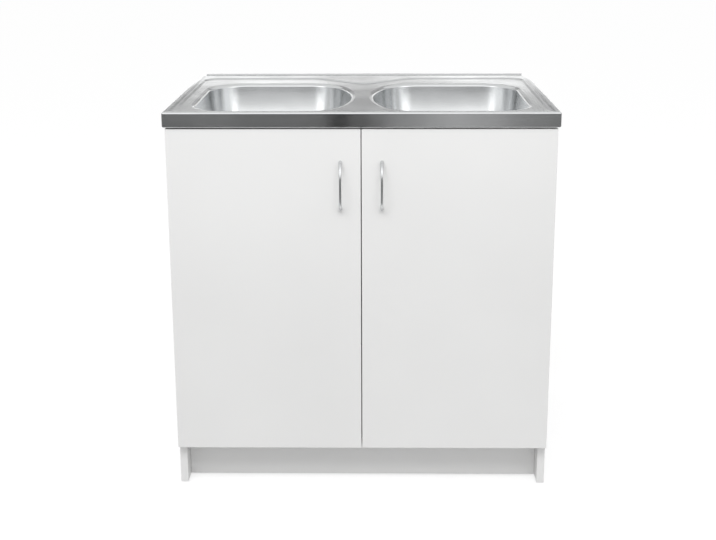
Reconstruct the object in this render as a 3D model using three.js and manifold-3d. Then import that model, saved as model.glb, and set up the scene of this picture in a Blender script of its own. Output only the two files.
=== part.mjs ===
// A kitchen sink unit: a two-door base cabinet that carries a lay-on steel sink with two bowls.
// Millimetres, +Z up. The front faces -Y and the origin lies on the floor, under the middle of the unit.
// Inside the unit's own group, y is the distance behind the front plane of the sink.
import * as THREE from 'three';
import { mergeVertices } from 'three/addons/utils/BufferGeometryUtils.js';
import Module from 'manifold-3d';

const wasm = await Module();
wasm.setup();

// ---- Driving dimensions: the whole unit ----
const sinkWidth = 800;
const sinkDepth = 600;
const unitHeight = 820;
const fit = 0.3; // gap between pieces that touch

// ---- Driving dimensions: cabinet ----
const board = 16; // thickness of every panel
const carcassInset = 5; // sink edge to the outer face of the carcass, on the sides and at the back
const doorSetback = 5; // sink front plane to the door fronts
const doorGap = 3; // door backs to the carcass
const centreGap = 2; // between the two doors
const apronGap = 3; // door tops to the sink's apron
const kickHeight = 90;
const kickSetback = 40; // carcass front to the kickboard
const doorStep = 2; // door bottoms above the underside of the bottom panel
const frontRailHeight = 100;
const backRailHeight = 90;
const backSheet = 3; // hardboard back
const pipeHoleRoom = 6; // around the outlet pipe where it leaves through the back
const glideHeight = 3;
const glideRadius = 7.5;
const glideBevel = 0.75;
const glidePinRadius = 1.5;
const glidePinLength = 12;
const glideInset = 30; // from the front and back ends of the side panels

// ---- Driving dimensions: handles ----
const handlePitch = 96; // between the two screws
const handleReach = 28; // door front to the front of the bow
const handleWidth = 5; // in the middle of the bow
const handleThickness = 5.2;
const handleFootWidth = 7.6;
const handleFootThickness = 8;
const bowPower = 2.2; // 2 would make the bow an ellipse, more makes it squarer
const handleToMiddle = 42; // from the middle of the unit
const handleTopDrop = 116; // door top to the middle of the handle
const screwRadius = 1.75;
const screwDepthInHandle = 6;
const screwHeadRadius = 4.2;
const screwHeadTop = 3.4; // radius of the flat on top of the head
const screwHeadHeight = 2;

// ---- Driving dimensions: hinges ----
const hingeInset = 100; // door ends to the hinge centres
const cupRadius = 17.5; // hole in the door
const cupEdge = 3; // door edge to the rim of that hole
const cupSkin = 4.2; // wood left in front of the hole
const cupWall = 0.8;
const cupFloor = 0.6;
const cupFlange = 1;
const cupFlangeWidth = 20;
const cupFlangeLength = 62;
const pinRadius = 0.9;
const knuckleWall = 0.8;
const knuckleRoom = 0.4; // knuckle to the cup around it
const armWidth = 8;
const armSheet = 2;
const armLegSheet = 1.6; // where the arm crosses the cup
const armBodyHeight = 9;
const armBodyFront = 7; // door back to the thick part of the arm
const plateThickness = 2;
const plateSetback = 37; // carcass front to the middle of the mounting plate
const plateLength = 40;
const plateWingLength = 48;
const plateWingWidth = 14;

// ---- Driving dimensions: sink ----
const sheet = 1;
const apronHeight = 32;
const hemReturn = 2.5;
const edgeCorner = 4; // upright corners of the apron
const rollRadius = 4;
const rollFlat = 6;
const rollSlope = 4;
const rollDrop = 2.5; // from the top of the rolled edge to the tap ledge
const recessDrop = 2;
const recessSlope = 6;
const recessSide = 17; // sink sides to the recess
const recessFront = 30;
const recessBack = 66;
const recessBackCorner = 40;
const recessFrontCorner = 14;
const ledgeWidth = 220; // tap ledge that reaches forward between the bowls
const ledgeReach = 92;
const ledgeCorner = 24;
const bowlSide = 50; // sink sides to the bowl openings
const bowlFront = 47;
const bowlBack = 160;
const webWidth = 48; // between the two bowls
const bowlCorner = 85;
const bowlBulge = 416; // radius of the curved side next to the web
const bowlDeep = 142;
const lipRadius = 6;
const lipSkirt = 2.5;
const wallDraft = 14; // how far the wall leans in, more and more towards its foot
const floorFillet = 54;
const floorFall = 2.5;

// ---- Driving dimensions: waste and trap ----
const strainerRadius = 44;
const strainerFlange = 12;
const strainerFlangeTop = 10.2; // width of the flange where its outer edge turns down
const strainerFlangeHeight = 1.6;
const strainerWall = 2;
const strainerDeep = 48;
const drainRoom = 1;
const washerHeight = 3;
const washerInset = 2; // edge of the strainer's flange to the edge of the washer
const backNutHeight = 9;
const backNutInset = 3;
const pipeRadius = 20;
const pipeWall = 2;
const tailLength = 26;
const nutWall = 4;
const nutHeight = 18;
const nutLip = 3;
const elbowRadius = 36;
const elbowDrop = 14;
const teeHalf = 50;
const teeWall = 4;
const socketDeep = 20;
const branchDrop = 58; // tee axis to the end of its branch
const bottleRadius = 37;
const bottleFoot = 29.6; // radius of the flat bottom
const bottleFootRise = 11;
const bottleHeight = 110;
const bottleWall = 2.5;
const dipRadius = 14;
const dipCollar = 3;
const dipToFloor = 24;
const outletRoom = 3; // ring nut to the outlet stub
const outletStub = 26;
const outletToBack = 4;

// ---- Driving dimensions: small pieces ----
const bumperRadius = 4;
const bumperInset = 12;
const bumperDrop = 10;
const basketClear = 1;
const basketHeight = 34;
const basketTaper = 5.7; // top radius less bottom radius
const basketWall = 1.4;
const stopperRadius = 19;
const stopperHeight = 5;
const knobRadius = 9;
const knobTop = 7.2; // radius of the flat on top of the knob
const knobHeight = 6;
const stemRadius = 4;

// ---- Fineness of the round stretches ----
const roundSides = 16;
const smallSides = 10;
const cornerStep = 18; // degrees of an outline corner that one straight piece spans
const straightStep = 2.5; // longest piece of a straight side of a bowl, in pieces of its corner
const rollSteps = 3;
const lipSteps = 2;
const filletSteps = 4;
const wallSteps = 2;
const bowSteps = 16;
const bowSides = 12;
const bendSteps = 10;
const past = 1; // how far a cutting tool runs past the face that it cuts
const quarterCurve = 0.5523; // makes a cubic curve follow a quarter circle

// ---- Heights above the floor ----
const deckTop = unitHeight - rollDrop;
const deckUnder = deckTop - sheet;
const recessTop = deckTop - recessDrop;
const recessUnder = recessTop - sheet;
const apronBottom = unitHeight - apronHeight;
const carcassTop = recessUnder - fit;
const lipBottom = recessTop - lipRadius - lipSkirt;
const bowlTop = lipBottom - fit;
const bowlFloor = recessTop - bowlDeep;
const doorTop = apronBottom - apronGap;
const doorBottom = kickHeight + doorStep;
const handleHeight = doorTop - handleTopDrop;
const tailBottom = bowlFloor - strainerDeep - tailLength;
const pipeTop = tailBottom - fit;
const pipeAxis = pipeTop - elbowDrop - elbowRadius;
const bottleTop = pipeAxis - branchDrop - 2 * fit - dipCollar;
const neckRadius = pipeRadius + fit + teeWall; // same thread on the tee, its branch and the bottle
const neckDeep = nutHeight - nutLip;
const outletDrop = neckDeep + outletRoom + neckRadius; // top of the bottle to the outlet axis

// ---- Distances from the middle plane and behind the front plane ----
const carcassHalf = sinkWidth / 2 - carcassInset;
const insideHalf = carcassHalf - board;
const crossHalf = insideHalf - fit; // half length of the boards between the side panels
const doorWidth = carcassHalf - centreGap / 2;
const doorMiddle = carcassHalf - doorWidth / 2;
const doorBack = doorSetback + board;
const carcassFront = doorBack + doorGap;
const carcassBack = sinkDepth - carcassInset;
const kickFront = carcassFront + kickSetback;
const backFace = carcassBack - backSheet; // front of the back panel
const bottomDepth = backFace - fit - carcassFront;
const bowlWidth = (sinkWidth - webWidth) / 2 - bowlSide;
const bowlLength = sinkDepth - bowlFront - bowlBack;
const bowlMiddle = (webWidth + bowlWidth) / 2;
const drainDepth = bowlFront + bowlLength / 2;
const outletHeight = bottleTop - outletDrop;

// ---- Hinge: the pin lies in the cup, as close to its rim and floor as the knuckle allows ----
const knuckleRadius = pinRadius + fit + knuckleWall;
const cupInside = (cupRadius - fit - cupWall) * Math.cos(Math.PI / roundSides);
const knuckleReach = Math.sqrt(cupInside ** 2 - (armWidth / 2) ** 2);
const pinToCup = knuckleReach - knuckleRoom - knuckleRadius;
const pinHalf = Math.sqrt(cupInside ** 2 - (pinToCup + pinRadius) ** 2) - fit;
const cupCentre = cupEdge + cupRadius; // door edge to the middle of the cup
const pinInset = cupCentre - pinToCup; // door edge to the pin
const pinHeight = cupSkin + fit + cupFloor + knuckleRoom + knuckleRadius; // door front to the pin
const pinX = carcassHalf - pinInset;
const pinY = doorSetback + pinHeight;
const armFace = board - pinInset + fit + plateThickness + fit; // pin to the near face of the arm
const plateMiddle = carcassFront + plateSetback;

// ---- Looks: colour, roughness and metalness of each material ----
const whiteBoard = { color: 0xe9e9e7, roughness: 0.5, metalness: 0 };
const steelSheet = { color: 0xb4b6b7, roughness: 0.33, metalness: 1 };
const faceHardboard = { color: 0xd9d7d2, roughness: 0.7, metalness: 0 };
const satinMetal = { color: 0xa9abad, roughness: 0.25, metalness: 1 };
const platedSteel = { color: 0xc2bfb9, roughness: 0.3, metalness: 1 };
const whitePlastic = { color: 0xeeeeec, roughness: 0.4, metalness: 0 };
const blackRubber = { color: 0x242426, roughness: 0.75, metalness: 0 };
const greyPlastic = { color: 0x55575a, roughness: 0.55, metalness: 0 };

// ---- Geometry helpers ----

// Welds the vertices of a geometry, so that it can be joined and cut.
function welded(geometry) {
  const bare = geometry.clone();
  bare.deleteAttribute('normal');
  bare.deleteAttribute('uv');
  return mergeVertices(bare, 1e-4);
}

function toSolid(geometry) {
  const bare = welded(geometry);
  return new wasm.Manifold(
    new wasm.Mesh({
      numProp: 3,
      vertProperties: Float32Array.from(bare.attributes.position.array),
      triVerts: Uint32Array.from(bare.index.array),
    }),
  );
}

function toGeometry(solid) {
  const mesh = solid.getMesh();
  const geometry = new THREE.BufferGeometry();
  geometry.setAttribute('position', new THREE.BufferAttribute(mesh.vertProperties, 3));
  geometry.setIndex(new THREE.BufferAttribute(mesh.triVerts, 1));
  geometry.computeVertexNormals();
  return geometry;
}

// Joins the first list of geometries and cuts the second list out of it.
function shaped(joined, cut = []) {
  let solid = joined.map(toSolid).reduce((whole, next) => whole.add(next));
  for (const tool of cut) solid = solid.subtract(toSolid(tool));
  return toGeometry(solid);
}

function box(width, depth, height, x = 0, y = 0, z = 0) {
  return new THREE.BoxGeometry(width, depth, height).translate(x, y, z);
}

// A solid of revolution about z from a profile of [radius, height] pairs. An open profile starts and
// ends on the axis, and a closed one, for a ring, goes round counter-clockwise back to its start.
function lathed(profile, closed = false, sides = roundSides) {
  const points = profile.map(([radius, height]) => new THREE.Vector2(radius, height));
  if (closed) points.push(points[0].clone());
  return new THREE.LatheGeometry(points, sides).rotateX(Math.PI / 2);
}

function rod(radius, from, to, sides = roundSides) {
  return lathed([[0, from], [radius, from], [radius, to], [0, to]], false, sides);
}

function ring(inner, outer, from, to, sides = roundSides) {
  return lathed([[inner, from], [outer, from], [outer, to], [inner, to]], true, sides);
}

// ---- Outlines: points that know which way is out, so that copies at any distance match ----

function arcOf(cx, cy, radius, from, to) {
  const side = to > from ? 1 : -1; // -1 on a hollow corner
  const steps = Math.max(1, Math.ceil(Math.abs(to - from) / cornerStep));
  return Array.from({ length: steps + 1 }, (_, i) => {
    const angle = THREE.MathUtils.degToRad(from + ((to - from) * i) / steps);
    const out = new THREE.Vector2(Math.cos(angle), Math.sin(angle));
    return { at: new THREE.Vector2(cx, cy).addScaledVector(out, radius), out: out.multiplyScalar(side) };
  });
}

// A counter-clockwise polygon of [x, y, corner radius], with its corners rounded.
function roundedPolygon(corners) {
  return corners.flatMap(([x, y, radius], i) => {
    const before = corners.at(i - 1);
    const after = corners[(i + 1) % corners.length];
    const arriving = new THREE.Vector2(x - before[0], y - before[1]).normalize();
    const leaving = new THREE.Vector2(after[0] - x, after[1] - y).normalize();
    const turn = Math.atan2(arriving.cross(leaving), arriving.dot(leaving));
    const side = Math.sign(turn);
    const run = radius * Math.tan(Math.abs(turn) / 2);
    const inward = new THREE.Vector2(-arriving.y, arriving.x).multiplyScalar(side);
    const start = new THREE.Vector2(x, y).addScaledVector(arriving, -run);
    const centre = start.clone().addScaledVector(inward, radius);
    const from = THREE.MathUtils.radToDeg(Math.atan2(-inward.y, -inward.x));
    return arcOf(centre.x, centre.y, radius, from, from + THREE.MathUtils.radToDeg(turn));
  });
}

function rectangle(halfWidth, front, back, radius) {
  return roundedPolygon([
    [-halfWidth, front, radius],
    [halfWidth, front, radius],
    [halfWidth, back, radius],
    [-halfWidth, back, radius],
  ]);
}

function mirrored(outline) {
  return outline
    .map(({ at, out }) => ({
      at: new THREE.Vector2(-at.x, at.y),
      out: new THREE.Vector2(-out.x, out.y),
    }))
    .reverse();
}

// A level copy of an outline, moved out by a distance, at a height.
function level(outline, distance, height) {
  return outline.map(({ at, out }) => {
    return new THREE.Vector3(at.x + out.x * distance, at.y + out.y * distance, height);
  });
}

// The skin between rings of equal length. Counter-clockwise rings that climb face outwards. The ends
// stay open without a cap, which is a function that gives the triangles of a ring.
function skin(rings, looped, cap = null) {
  const count = rings[0].length;
  const index = [];
  const last = looped ? rings.length : rings.length - 1;
  for (let i = 0; i < last; i += 1) {
    const low = i * count;
    const high = ((i + 1) % rings.length) * count;
    for (let j = 0; j < count; j += 1) {
      const next = (j + 1) % count;
      index.push(low + j, low + next, high + next, low + j, high + next, high + j);
    }
  }
  if (cap) {
    const top = (rings.length - 1) * count;
    for (const [a, b, c] of cap(rings[0])) index.push(a, c, b);
    for (const [a, b, c] of cap(rings.at(-1))) index.push(top + a, top + b, top + c);
  }
  const geometry = new THREE.BufferGeometry().setFromPoints(rings.flat());
  geometry.setIndex(index);
  return geometry;
}

// Cap of a level ring of any outline.
function capOf(points) {
  const flat = points.map(({ x, y }) => new THREE.Vector2(x, y));
  return THREE.ShapeUtils.triangulateShape(flat, []);
}

// Cap of a round or oval ring that may face any way.
function fanOf(points) {
  return Array.from({ length: points.length - 2 }, (_, i) => [0, i + 1, i + 2]);
}

// A solid between level copies of one outline, each given as [distance, height], bottom first.
function stacked(outline, levels) {
  return skin(levels.map(([distance, height]) => level(outline, distance, height)), false, capOf);
}

// Quarter round from a wall up to a flat: [distance, height] pairs for a centre, radius and count.
function quarter(centreDistance, centreHeight, radius, steps, from = 0, to = 90) {
  return Array.from({ length: steps + 1 }, (_, i) => {
    const angle = THREE.MathUtils.degToRad(from + ((to - from) * i) / steps);
    return [centreDistance + radius * Math.cos(angle), centreHeight + radius * Math.sin(angle)];
  });
}

// ---- Outlines of the sink, in its own plan ----

// Inside the rolled edge the corners keep a small radius of their own.
function rollRing(inset, height) {
  const radius = Math.max(edgeCorner - inset, sheet);
  const outline = rectangle(sinkWidth / 2 - inset, inset, sinkDepth - inset, radius);
  return level(outline, 0, height);
}

function recessOutline() {
  const half = sinkWidth / 2 - recessSide;
  const back = sinkDepth - recessBack;
  return roundedPolygon([
    [-half, recessFront, recessFrontCorner],
    [half, recessFront, recessFrontCorner],
    [half, back, recessBackCorner],
    [ledgeWidth / 2, back, ledgeCorner],
    [0, back - ledgeReach, ledgeCorner],
    [-ledgeWidth / 2, back, ledgeCorner],
    [-half, back, recessBackCorner],
  ]);
}

// Opening of the left bowl about its own centre: three straight sides, and one that bulges to the web.
function bowlOutline() {
  const half = bowlWidth / 2;
  const cornerY = bowlLength / 2 - bowlCorner;
  const bulgeX = half - bowlBulge;
  const innerX = bulgeX + Math.sqrt((bowlBulge - bowlCorner) ** 2 - cornerY ** 2);
  const swing = THREE.MathUtils.radToDeg(Math.atan2(cornerY, innerX - bulgeX));
  const outerX = bowlCorner - half;
  const arcs = [
    arcOf(outerX, -cornerY, bowlCorner, 180, 270),
    arcOf(innerX, -cornerY, bowlCorner, 270, 360 - swing),
    arcOf(bulgeX, 0, bowlBulge, -swing, swing).slice(1, -1),
    arcOf(innerX, cornerY, bowlCorner, swing, 90),
    arcOf(outerX, cornerY, bowlCorner, 90, 180),
  ];
  return withMiddles(arcs.flat());
}

// Adds points along the straight stretches, so that a round drain can be joined on evenly.
function withMiddles(outline) {
  const longest = bowlCorner * THREE.MathUtils.degToRad(cornerStep) * straightStep;
  return outline.flatMap((point, i) => {
    const next = outline[(i + 1) % outline.length];
    const run = point.at.distanceTo(next.at);
    const pieces = Math.ceil(run / longest);
    return Array.from({ length: pieces }, (_, k) => ({
      at: point.at.clone().lerp(next.at, k / pieces),
      out: point.out.clone().lerp(next.out, k / pieces).normalize(),
    }));
  });
}

function shifted(outline, x, y) {
  const move = new THREE.Vector2(x, y);
  return outline.map(({ at, out }) => ({ at: at.clone().add(move), out }));
}

const leftBowl = bowlOutline();
const rightBowl = mirrored(leftBowl);

// ---- Sink ----

// The deck is a pressed sheet: a rolled edge and apron, a shallow recess and a lip at each bowl.
function deckGeometry() {
  const rollTop = unitHeight;
  const inner = rollRadius + rollFlat;
  const roll = quarter(-rollRadius, rollTop - rollRadius, rollRadius, rollSteps);
  const over = [
    rollRing(0, apronBottom),
    ...roll.map(([distance, height]) => rollRing(-distance, height)),
    rollRing(inner, rollTop),
    rollRing(inner + rollSlope, deckTop),
  ];
  const under = [
    rollRing(sheet, apronBottom + sheet),
    ...roll.map(([distance, height]) => underRing(distance, height)),
    rollRing(inner, rollTop - sheet),
    rollRing(inner + rollSlope, deckUnder),
  ];
  const mouth = [
    rollRing(hemReturn, apronBottom - sheet),
    rollRing(hemReturn, apronBottom + 2 * sheet),
  ];
  const recess = recessOutline();
  const pan = stacked(recess, [
    [sheet / 2 - recessSlope, recessUnder],
    [sheet / 2, deckUnder],
    [sheet / 2, deckUnder + sheet / 2],
  ]);
  const hollow = stacked(recess, [
    [-recessSlope, recessTop],
    [0, deckTop],
    [0, deckTop + sheet],
  ]);
  const bowls = [
    shifted(leftBowl, -bowlMiddle, drainDepth),
    shifted(rightBowl, bowlMiddle, drainDepth),
  ];
  const edge = shaped([skin(over, false, capOf)], [skin(under, false, capOf), skin(mouth, false, capOf)]);
  return shaped([edge, pan, ...bowls.map(lipOutside)], [hollow, ...bowls.map(lipInside)]);
}

// The under side of the rolled edge follows its top one sheet thickness inside.
function underRing(distance, height) {
  const centre = -rollRadius;
  const share = (rollRadius - sheet) / rollRadius;
  const insideDistance = centre + (distance - centre) * share;
  const insideHeight = unitHeight - rollRadius + (height - unitHeight + rollRadius) * share;
  return rollRing(-insideDistance, insideHeight);
}

// Distances are measured outwards from the bowl opening, and the lip is hollow towards its centre.
function lipInside(outline) {
  const bend = quarter(lipRadius, recessTop - lipRadius, lipRadius, lipSteps, 180, 90);
  return stacked(outline, [[0, lipBottom - sheet], ...bend, [lipRadius, recessTop + recessDrop]]);
}

function lipOutside(outline) {
  const bend = quarter(lipRadius, recessTop - lipRadius, lipRadius - sheet, lipSteps, 180, 90);
  return stacked(outline, [[sheet, lipBottom], ...bend, [lipRadius, recessUnder + sheet / 2]]);
}

// Inside of a bowl, as distances outside its opening and heights. From the top down, the wall leans in
// more and more and bends round into the floor.
function bowlSection() {
  const foot = bowlFloor + floorFall;
  const wallFoot = new THREE.Vector2(-wallDraft, foot + floorFillet);
  const height = bowlTop - wallFoot.y;
  const wall = Array.from({ length: wallSteps }, (_, i) => {
    const share = i / wallSteps;
    return new THREE.Vector2(-wallDraft * share ** 2, bowlTop - height * share);
  });
  const end = new THREE.Vector2(-wallDraft - floorFillet, foot);
  const pull = quarterCurve * floorFillet;
  const lean = new THREE.Vector2(-2 * wallDraft, -height).normalize();
  const leaving = wallFoot.clone().addScaledVector(lean, pull);
  const arriving = new THREE.Vector2(end.x + pull, foot);
  const bend = new THREE.CubicBezierCurve(wallFoot, leaving, arriving, end);
  return [...wall, ...bend.getPoints(filletSteps)];
}

// A bowl is one bent sheet. Its section runs from the drain up the outside and down the inside again.
function bowlGeometry(outline) {
  const inside = bowlSection();
  const outside = inside.slice(1, -1).map((point, i) => {
    const run = inside[i + 2].clone().sub(inside[i]).normalize();
    return point.clone().addScaledVector(new THREE.Vector2(-run.y, run.x), sheet);
  });
  outside.unshift(new THREE.Vector2(inside[0].x + sheet, inside[0].y));
  outside.push(new THREE.Vector2(inside.at(-1).x, inside.at(-1).y - sheet));
  const round = (radius, height) => drainRing(outline, radius, height);
  const drain = strainerRadius + drainRoom;
  const seat = strainerRadius + strainerFlange + drainRoom; // flat under the strainer's flange
  const rings = [
    round(drain, bowlFloor - sheet),
    round(seat, bowlFloor - sheet),
    ...outside.reverse().map(({ x, y }) => level(outline, x, y)),
    ...inside.map(({ x, y }) => level(outline, x, y)),
    round(seat, bowlFloor),
    round(drain, bowlFloor),
  ];
  return skin(rings, true);
}

function drainRing(outline, radius, height) {
  return outline.map(({ at }) => {
    const out = at.clone().normalize().multiplyScalar(radius);
    return new THREE.Vector3(out.x, out.y, height);
  });
}

// ---- Placing pieces ----

function part(parent, name, geometry, look, x = 0, y = 0, z = 0) {
  const mesh = new THREE.Mesh(geometry, new THREE.MeshStandardMaterial(look));
  mesh.name = name;
  mesh.position.set(x, y, z);
  parent.add(mesh);
  return mesh;
}

function groupAt(parent, x, y, z) {
  const group = new THREE.Group();
  group.position.set(x, y, z);
  parent.add(group);
  return group;
}

const unit = new THREE.Group();
const frontOverhang = Math.max(handleReach - doorSetback, 0);
unit.position.y = (frontOverhang - sinkDepth) / 2;
const sides = [['left', -1], ['right', 1]];

// ---- Cabinet ----

const glideYs = [['front', carcassFront + glideInset], ['back', carcassBack - glideInset]];

function sidePanelGeometry() {
  const height = carcassTop - glideHeight;
  const depth = carcassBack - carcassFront;
  const panel = box(board, depth, height, 0, carcassFront + depth / 2, glideHeight + height / 2);
  const bores = glideYs.map(([, y]) => {
    const top = glidePinLength + glideHeight + fit;
    return rod(glidePinRadius + fit, glideHeight - past, top, smallSides).translate(0, y, 0);
  });
  return shaped([panel], bores);
}

function glideGeometry() {
  const discTop = glideHeight - fit;
  const pinTop = glideHeight + glidePinLength;
  return lathed([
    [0, 0],
    [glideRadius - glideBevel, 0],
    [glideRadius, glideBevel],
    [glideRadius, discTop],
    [glidePinRadius, discTop],
    [glidePinRadius, pinTop],
    [0, pinTop],
  ], false, smallSides);
}

function addCabinet() {
  const cabinet = groupAt(unit, 0, 0, 0);
  for (const [side, sign] of sides) {
    const x = sign * (carcassHalf - board / 2);
    part(cabinet, `side_panel_${side}`, sidePanelGeometry(), whiteBoard, x);
    for (const [end, y] of glideYs) part(cabinet, `glide_${end}_${side}`, glideGeometry(), greyPlastic, x, y);
  }
  const length = 2 * crossHalf;
  const across = (name, thick, tall, y, z) => {
    part(cabinet, name, box(length, thick, tall), whiteBoard, 0, y + thick / 2, z + tall / 2);
  };
  across('bottom_panel', bottomDepth, board, carcassFront, kickHeight);
  across('kickboard', board, kickHeight - fit - glideHeight, kickFront, glideHeight);
  across('front_top_rail', board, frontRailHeight, carcassFront, carcassTop - frontRailHeight);
  across('back_top_rail', board, backRailHeight, backFace - fit - board, carcassTop - backRailHeight);
  part(cabinet, 'back_panel', backPanelGeometry(), faceHardboard, 0, backFace, kickHeight);
}

// The back, about its own front face at the height of its lower edge, with a hole for the outlet pipe.
function backPanelGeometry() {
  const height = carcassTop - kickHeight;
  const hole = pointingBack(rod(pipeRadius + pipeHoleRoom, -past, backSheet + past));
  return shaped(
    [box(2 * crossHalf, backSheet, height, 0, backSheet / 2, height / 2)],
    [hole.translate(0, 0, outletHeight - kickHeight)],
  );
}

// ---- Doors, handles and hinges ----

// Hinge heights on a door, from its own middle.
const hingeZs = [['lower', -1], ['upper', 1]].map(([name, sign]) => {
  return [name, sign * ((doorTop - doorBottom) / 2 - hingeInset)];
});
const handleZs = [['lower', -handlePitch / 2], ['upper', handlePitch / 2]];
const doorCentreZ = (doorTop + doorBottom) / 2;

// Turns a solid about z into one that points back, along y.
function pointingBack(geometry) {
  return geometry.rotateX(-Math.PI / 2);
}

// The door, about the middle of its front face. The sign tells which side its hinges are on.
function doorGeometry(sign) {
  const slab = box(doorWidth, board, doorTop - doorBottom, 0, board / 2, 0);
  const cupX = sign * (doorWidth / 2 - cupCentre);
  const cups = hingeZs.map(([, z]) => {
    return pointingBack(rod(cupRadius, cupSkin, board + past)).translate(cupX, 0, z);
  });
  const screwX = sign * (handleToMiddle - doorMiddle);
  const screws = handleZs.map(([, z]) => {
    const bore = pointingBack(rod(screwRadius + fit, -past, board + past, smallSides));
    return bore.translate(screwX, 0, handleHeight - doorCentreZ + z);
  });
  return shaped([slab], [...cups, ...screws]);
}

// Centre line of the bow lying on its back, from its upper foot at 0 degrees to its lower one at 180:
// x runs across it, y up the door and z out of the door.
function bowPoint(degrees) {
  const angle = THREE.MathUtils.degToRad(degrees);
  const rounded = (value) => Math.sign(value) * Math.abs(value) ** (2 / bowPower);
  const reach = handleReach - handleThickness / 2 - fit;
  const out = fit + reach * rounded(Math.max(Math.sin(angle), 0));
  return new THREE.Vector3(0, (handlePitch / 2) * rounded(Math.cos(angle)), out);
}

// An oval section of the bow, which is widest at the feet.
function bowRing(degrees) {
  const near = 180 / bowSteps / 4;
  const along = bowPoint(degrees + near).sub(bowPoint(degrees - near)).normalize();
  const away = new THREE.Vector3(0, along.z, -along.y);
  const share = Math.cos(THREE.MathUtils.degToRad(degrees)) ** 2;
  const across = THREE.MathUtils.lerp(handleWidth, handleFootWidth, share) / 2;
  const thick = THREE.MathUtils.lerp(handleThickness, handleFootThickness, share) / 2;
  return Array.from({ length: bowSides }, (_, i) => {
    const angle = (2 * Math.PI * i) / bowSides;
    const side = new THREE.Vector3(across * Math.cos(angle), 0, 0);
    return bowPoint(degrees).add(side).addScaledVector(away, thick * Math.sin(angle));
  });
}

// A bow handle about the middle of its feet: it stands out from the door and runs upright.
function handleGeometry() {
  const rings = Array.from({ length: bowSteps + 1 }, (_, i) => bowRing((180 * i) / bowSteps));
  const bar = skin(rings, false, fanOf).rotateX(Math.PI / 2);
  const bores = handleZs.map(([, z]) => {
    const tip = -screwDepthInHandle - 2 * fit;
    return pointingBack(rod(screwRadius + fit, tip, past, smallSides)).translate(0, 0, z);
  });
  return shaped([bar], bores);
}

// Screw from the back of the door into a foot of the handle, about the door's front face.
function screwGeometry() {
  const headTop = board + fit + screwHeadHeight;
  return pointingBack(lathed([
    [0, -screwDepthInHandle],
    [screwRadius, -screwDepthInHandle],
    [screwRadius, board + fit],
    [screwHeadRadius, board + fit],
    [screwHeadTop, headTop],
    [0, headTop],
  ], false, smallSides));
}

// The cup, about the middle of its hole on the door's front face.
function cupGeometry() {
  const bottom = cupSkin + fit;
  const top = board + fit + cupFlange;
  const outer = cupRadius - fit;
  const inner = outer - cupWall;
  const cup = pointingBack(lathed([
    [0, bottom],
    [outer, bottom],
    [outer, top],
    [inner, top],
    [inner, bottom + cupFloor],
    [0, bottom + cupFloor],
  ]));
  const wings = box(cupFlangeWidth, cupFlange, cupFlangeLength, 0, board + fit + cupFlange / 2, 0);
  const mouth = pointingBack(rod(inner, board - past, top + past));
  return shaped([cup, toGeometry(toSolid(wings).subtract(toSolid(mouth)))]);
}

// The arm, about the pin, for a hinge on the right side: its knuckle holds the pin, one leg crosses
// the cup to the middle of the unit and the other runs back along the side panel over the plate.
function armGeometry() {
  const legY = armLegSheet / 2;
  const bodyY = doorBack + armBodyFront - pinY;
  const endY = plateMiddle + plateLength / 2 - pinY;
  const near = -armFace;
  const far = near - armSheet;
  const deep = near - armBodyHeight;
  const outline = new THREE.Shape([
    new THREE.Vector2(0, -legY),
    new THREE.Vector2(0, legY),
    new THREE.Vector2(near, legY),
    new THREE.Vector2(near, endY),
    new THREE.Vector2(deep, endY),
    new THREE.Vector2(deep, bodyY + armBodyHeight),
    new THREE.Vector2(far, bodyY),
    new THREE.Vector2(far, -legY),
  ]);
  const leg = new THREE.ExtrudeGeometry(outline, { depth: armWidth, bevelEnabled: false });
  leg.translate(0, 0, -armWidth / 2);
  const knuckle = rod(knuckleRadius, -armWidth / 2, armWidth / 2, smallSides);
  return shaped([leg, knuckle], [rod(pinRadius + fit, -armWidth, armWidth, smallSides)]);
}

// Cross-shaped mounting plate on the inner face of the side panel.
function plateGeometry() {
  return shaped([
    box(plateThickness, plateLength, armWidth),
    box(plateThickness, plateWingWidth, plateWingLength),
  ]);
}

// The whole hinge is the same turned over for the left side, because it is even above and below.
function addHinges(side, sign) {
  for (const [name, z] of hingeZs) {
    const hinge = groupAt(unit, sign * pinX, pinY, doorCentreZ + z);
    if (sign < 0) hinge.rotation.y = Math.PI;
    part(hinge, `hinge_arm_${side}_${name}`, armGeometry(), platedSteel);
    part(hinge, `hinge_pin_${side}_${name}`, rod(pinRadius, -pinHalf, pinHalf, smallSides), platedSteel);
    const plateX = pinInset - board - fit - plateThickness / 2;
    part(hinge, `hinge_plate_${side}_${name}`, plateGeometry(), platedSteel, plateX, plateMiddle - pinY);
    part(hinge, `hinge_cup_${side}_${name}`, cupGeometry(), platedSteel, -pinToCup, -pinHeight);
  }
}

function addDoor(side, sign) {
  const door = groupAt(unit, sign * doorMiddle, doorSetback, doorCentreZ);
  part(door, `door_${side}`, doorGeometry(sign), whiteBoard);
  const handleX = sign * (handleToMiddle - doorMiddle);
  const handleZ = handleHeight - doorCentreZ;
  part(door, `handle_${side}`, handleGeometry(), satinMetal, handleX, 0, handleZ);
  for (const [name, z] of handleZs) {
    part(door, `handle_screw_${side}_${name}`, screwGeometry(), platedSteel, handleX, 0, handleZ + z);
  }
  const thickness = doorGap - 2 * fit;
  const bumper = pointingBack(rod(bumperRadius, 0, thickness, smallSides));
  const bumperX = -sign * (doorWidth / 2 - bumperInset);
  const bumperZ = doorTop - doorCentreZ - bumperDrop;
  part(door, `door_bumper_${side}`, bumper, greyPlastic, bumperX, board + fit, bumperZ);
}

// ---- Waste fittings ----

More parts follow.
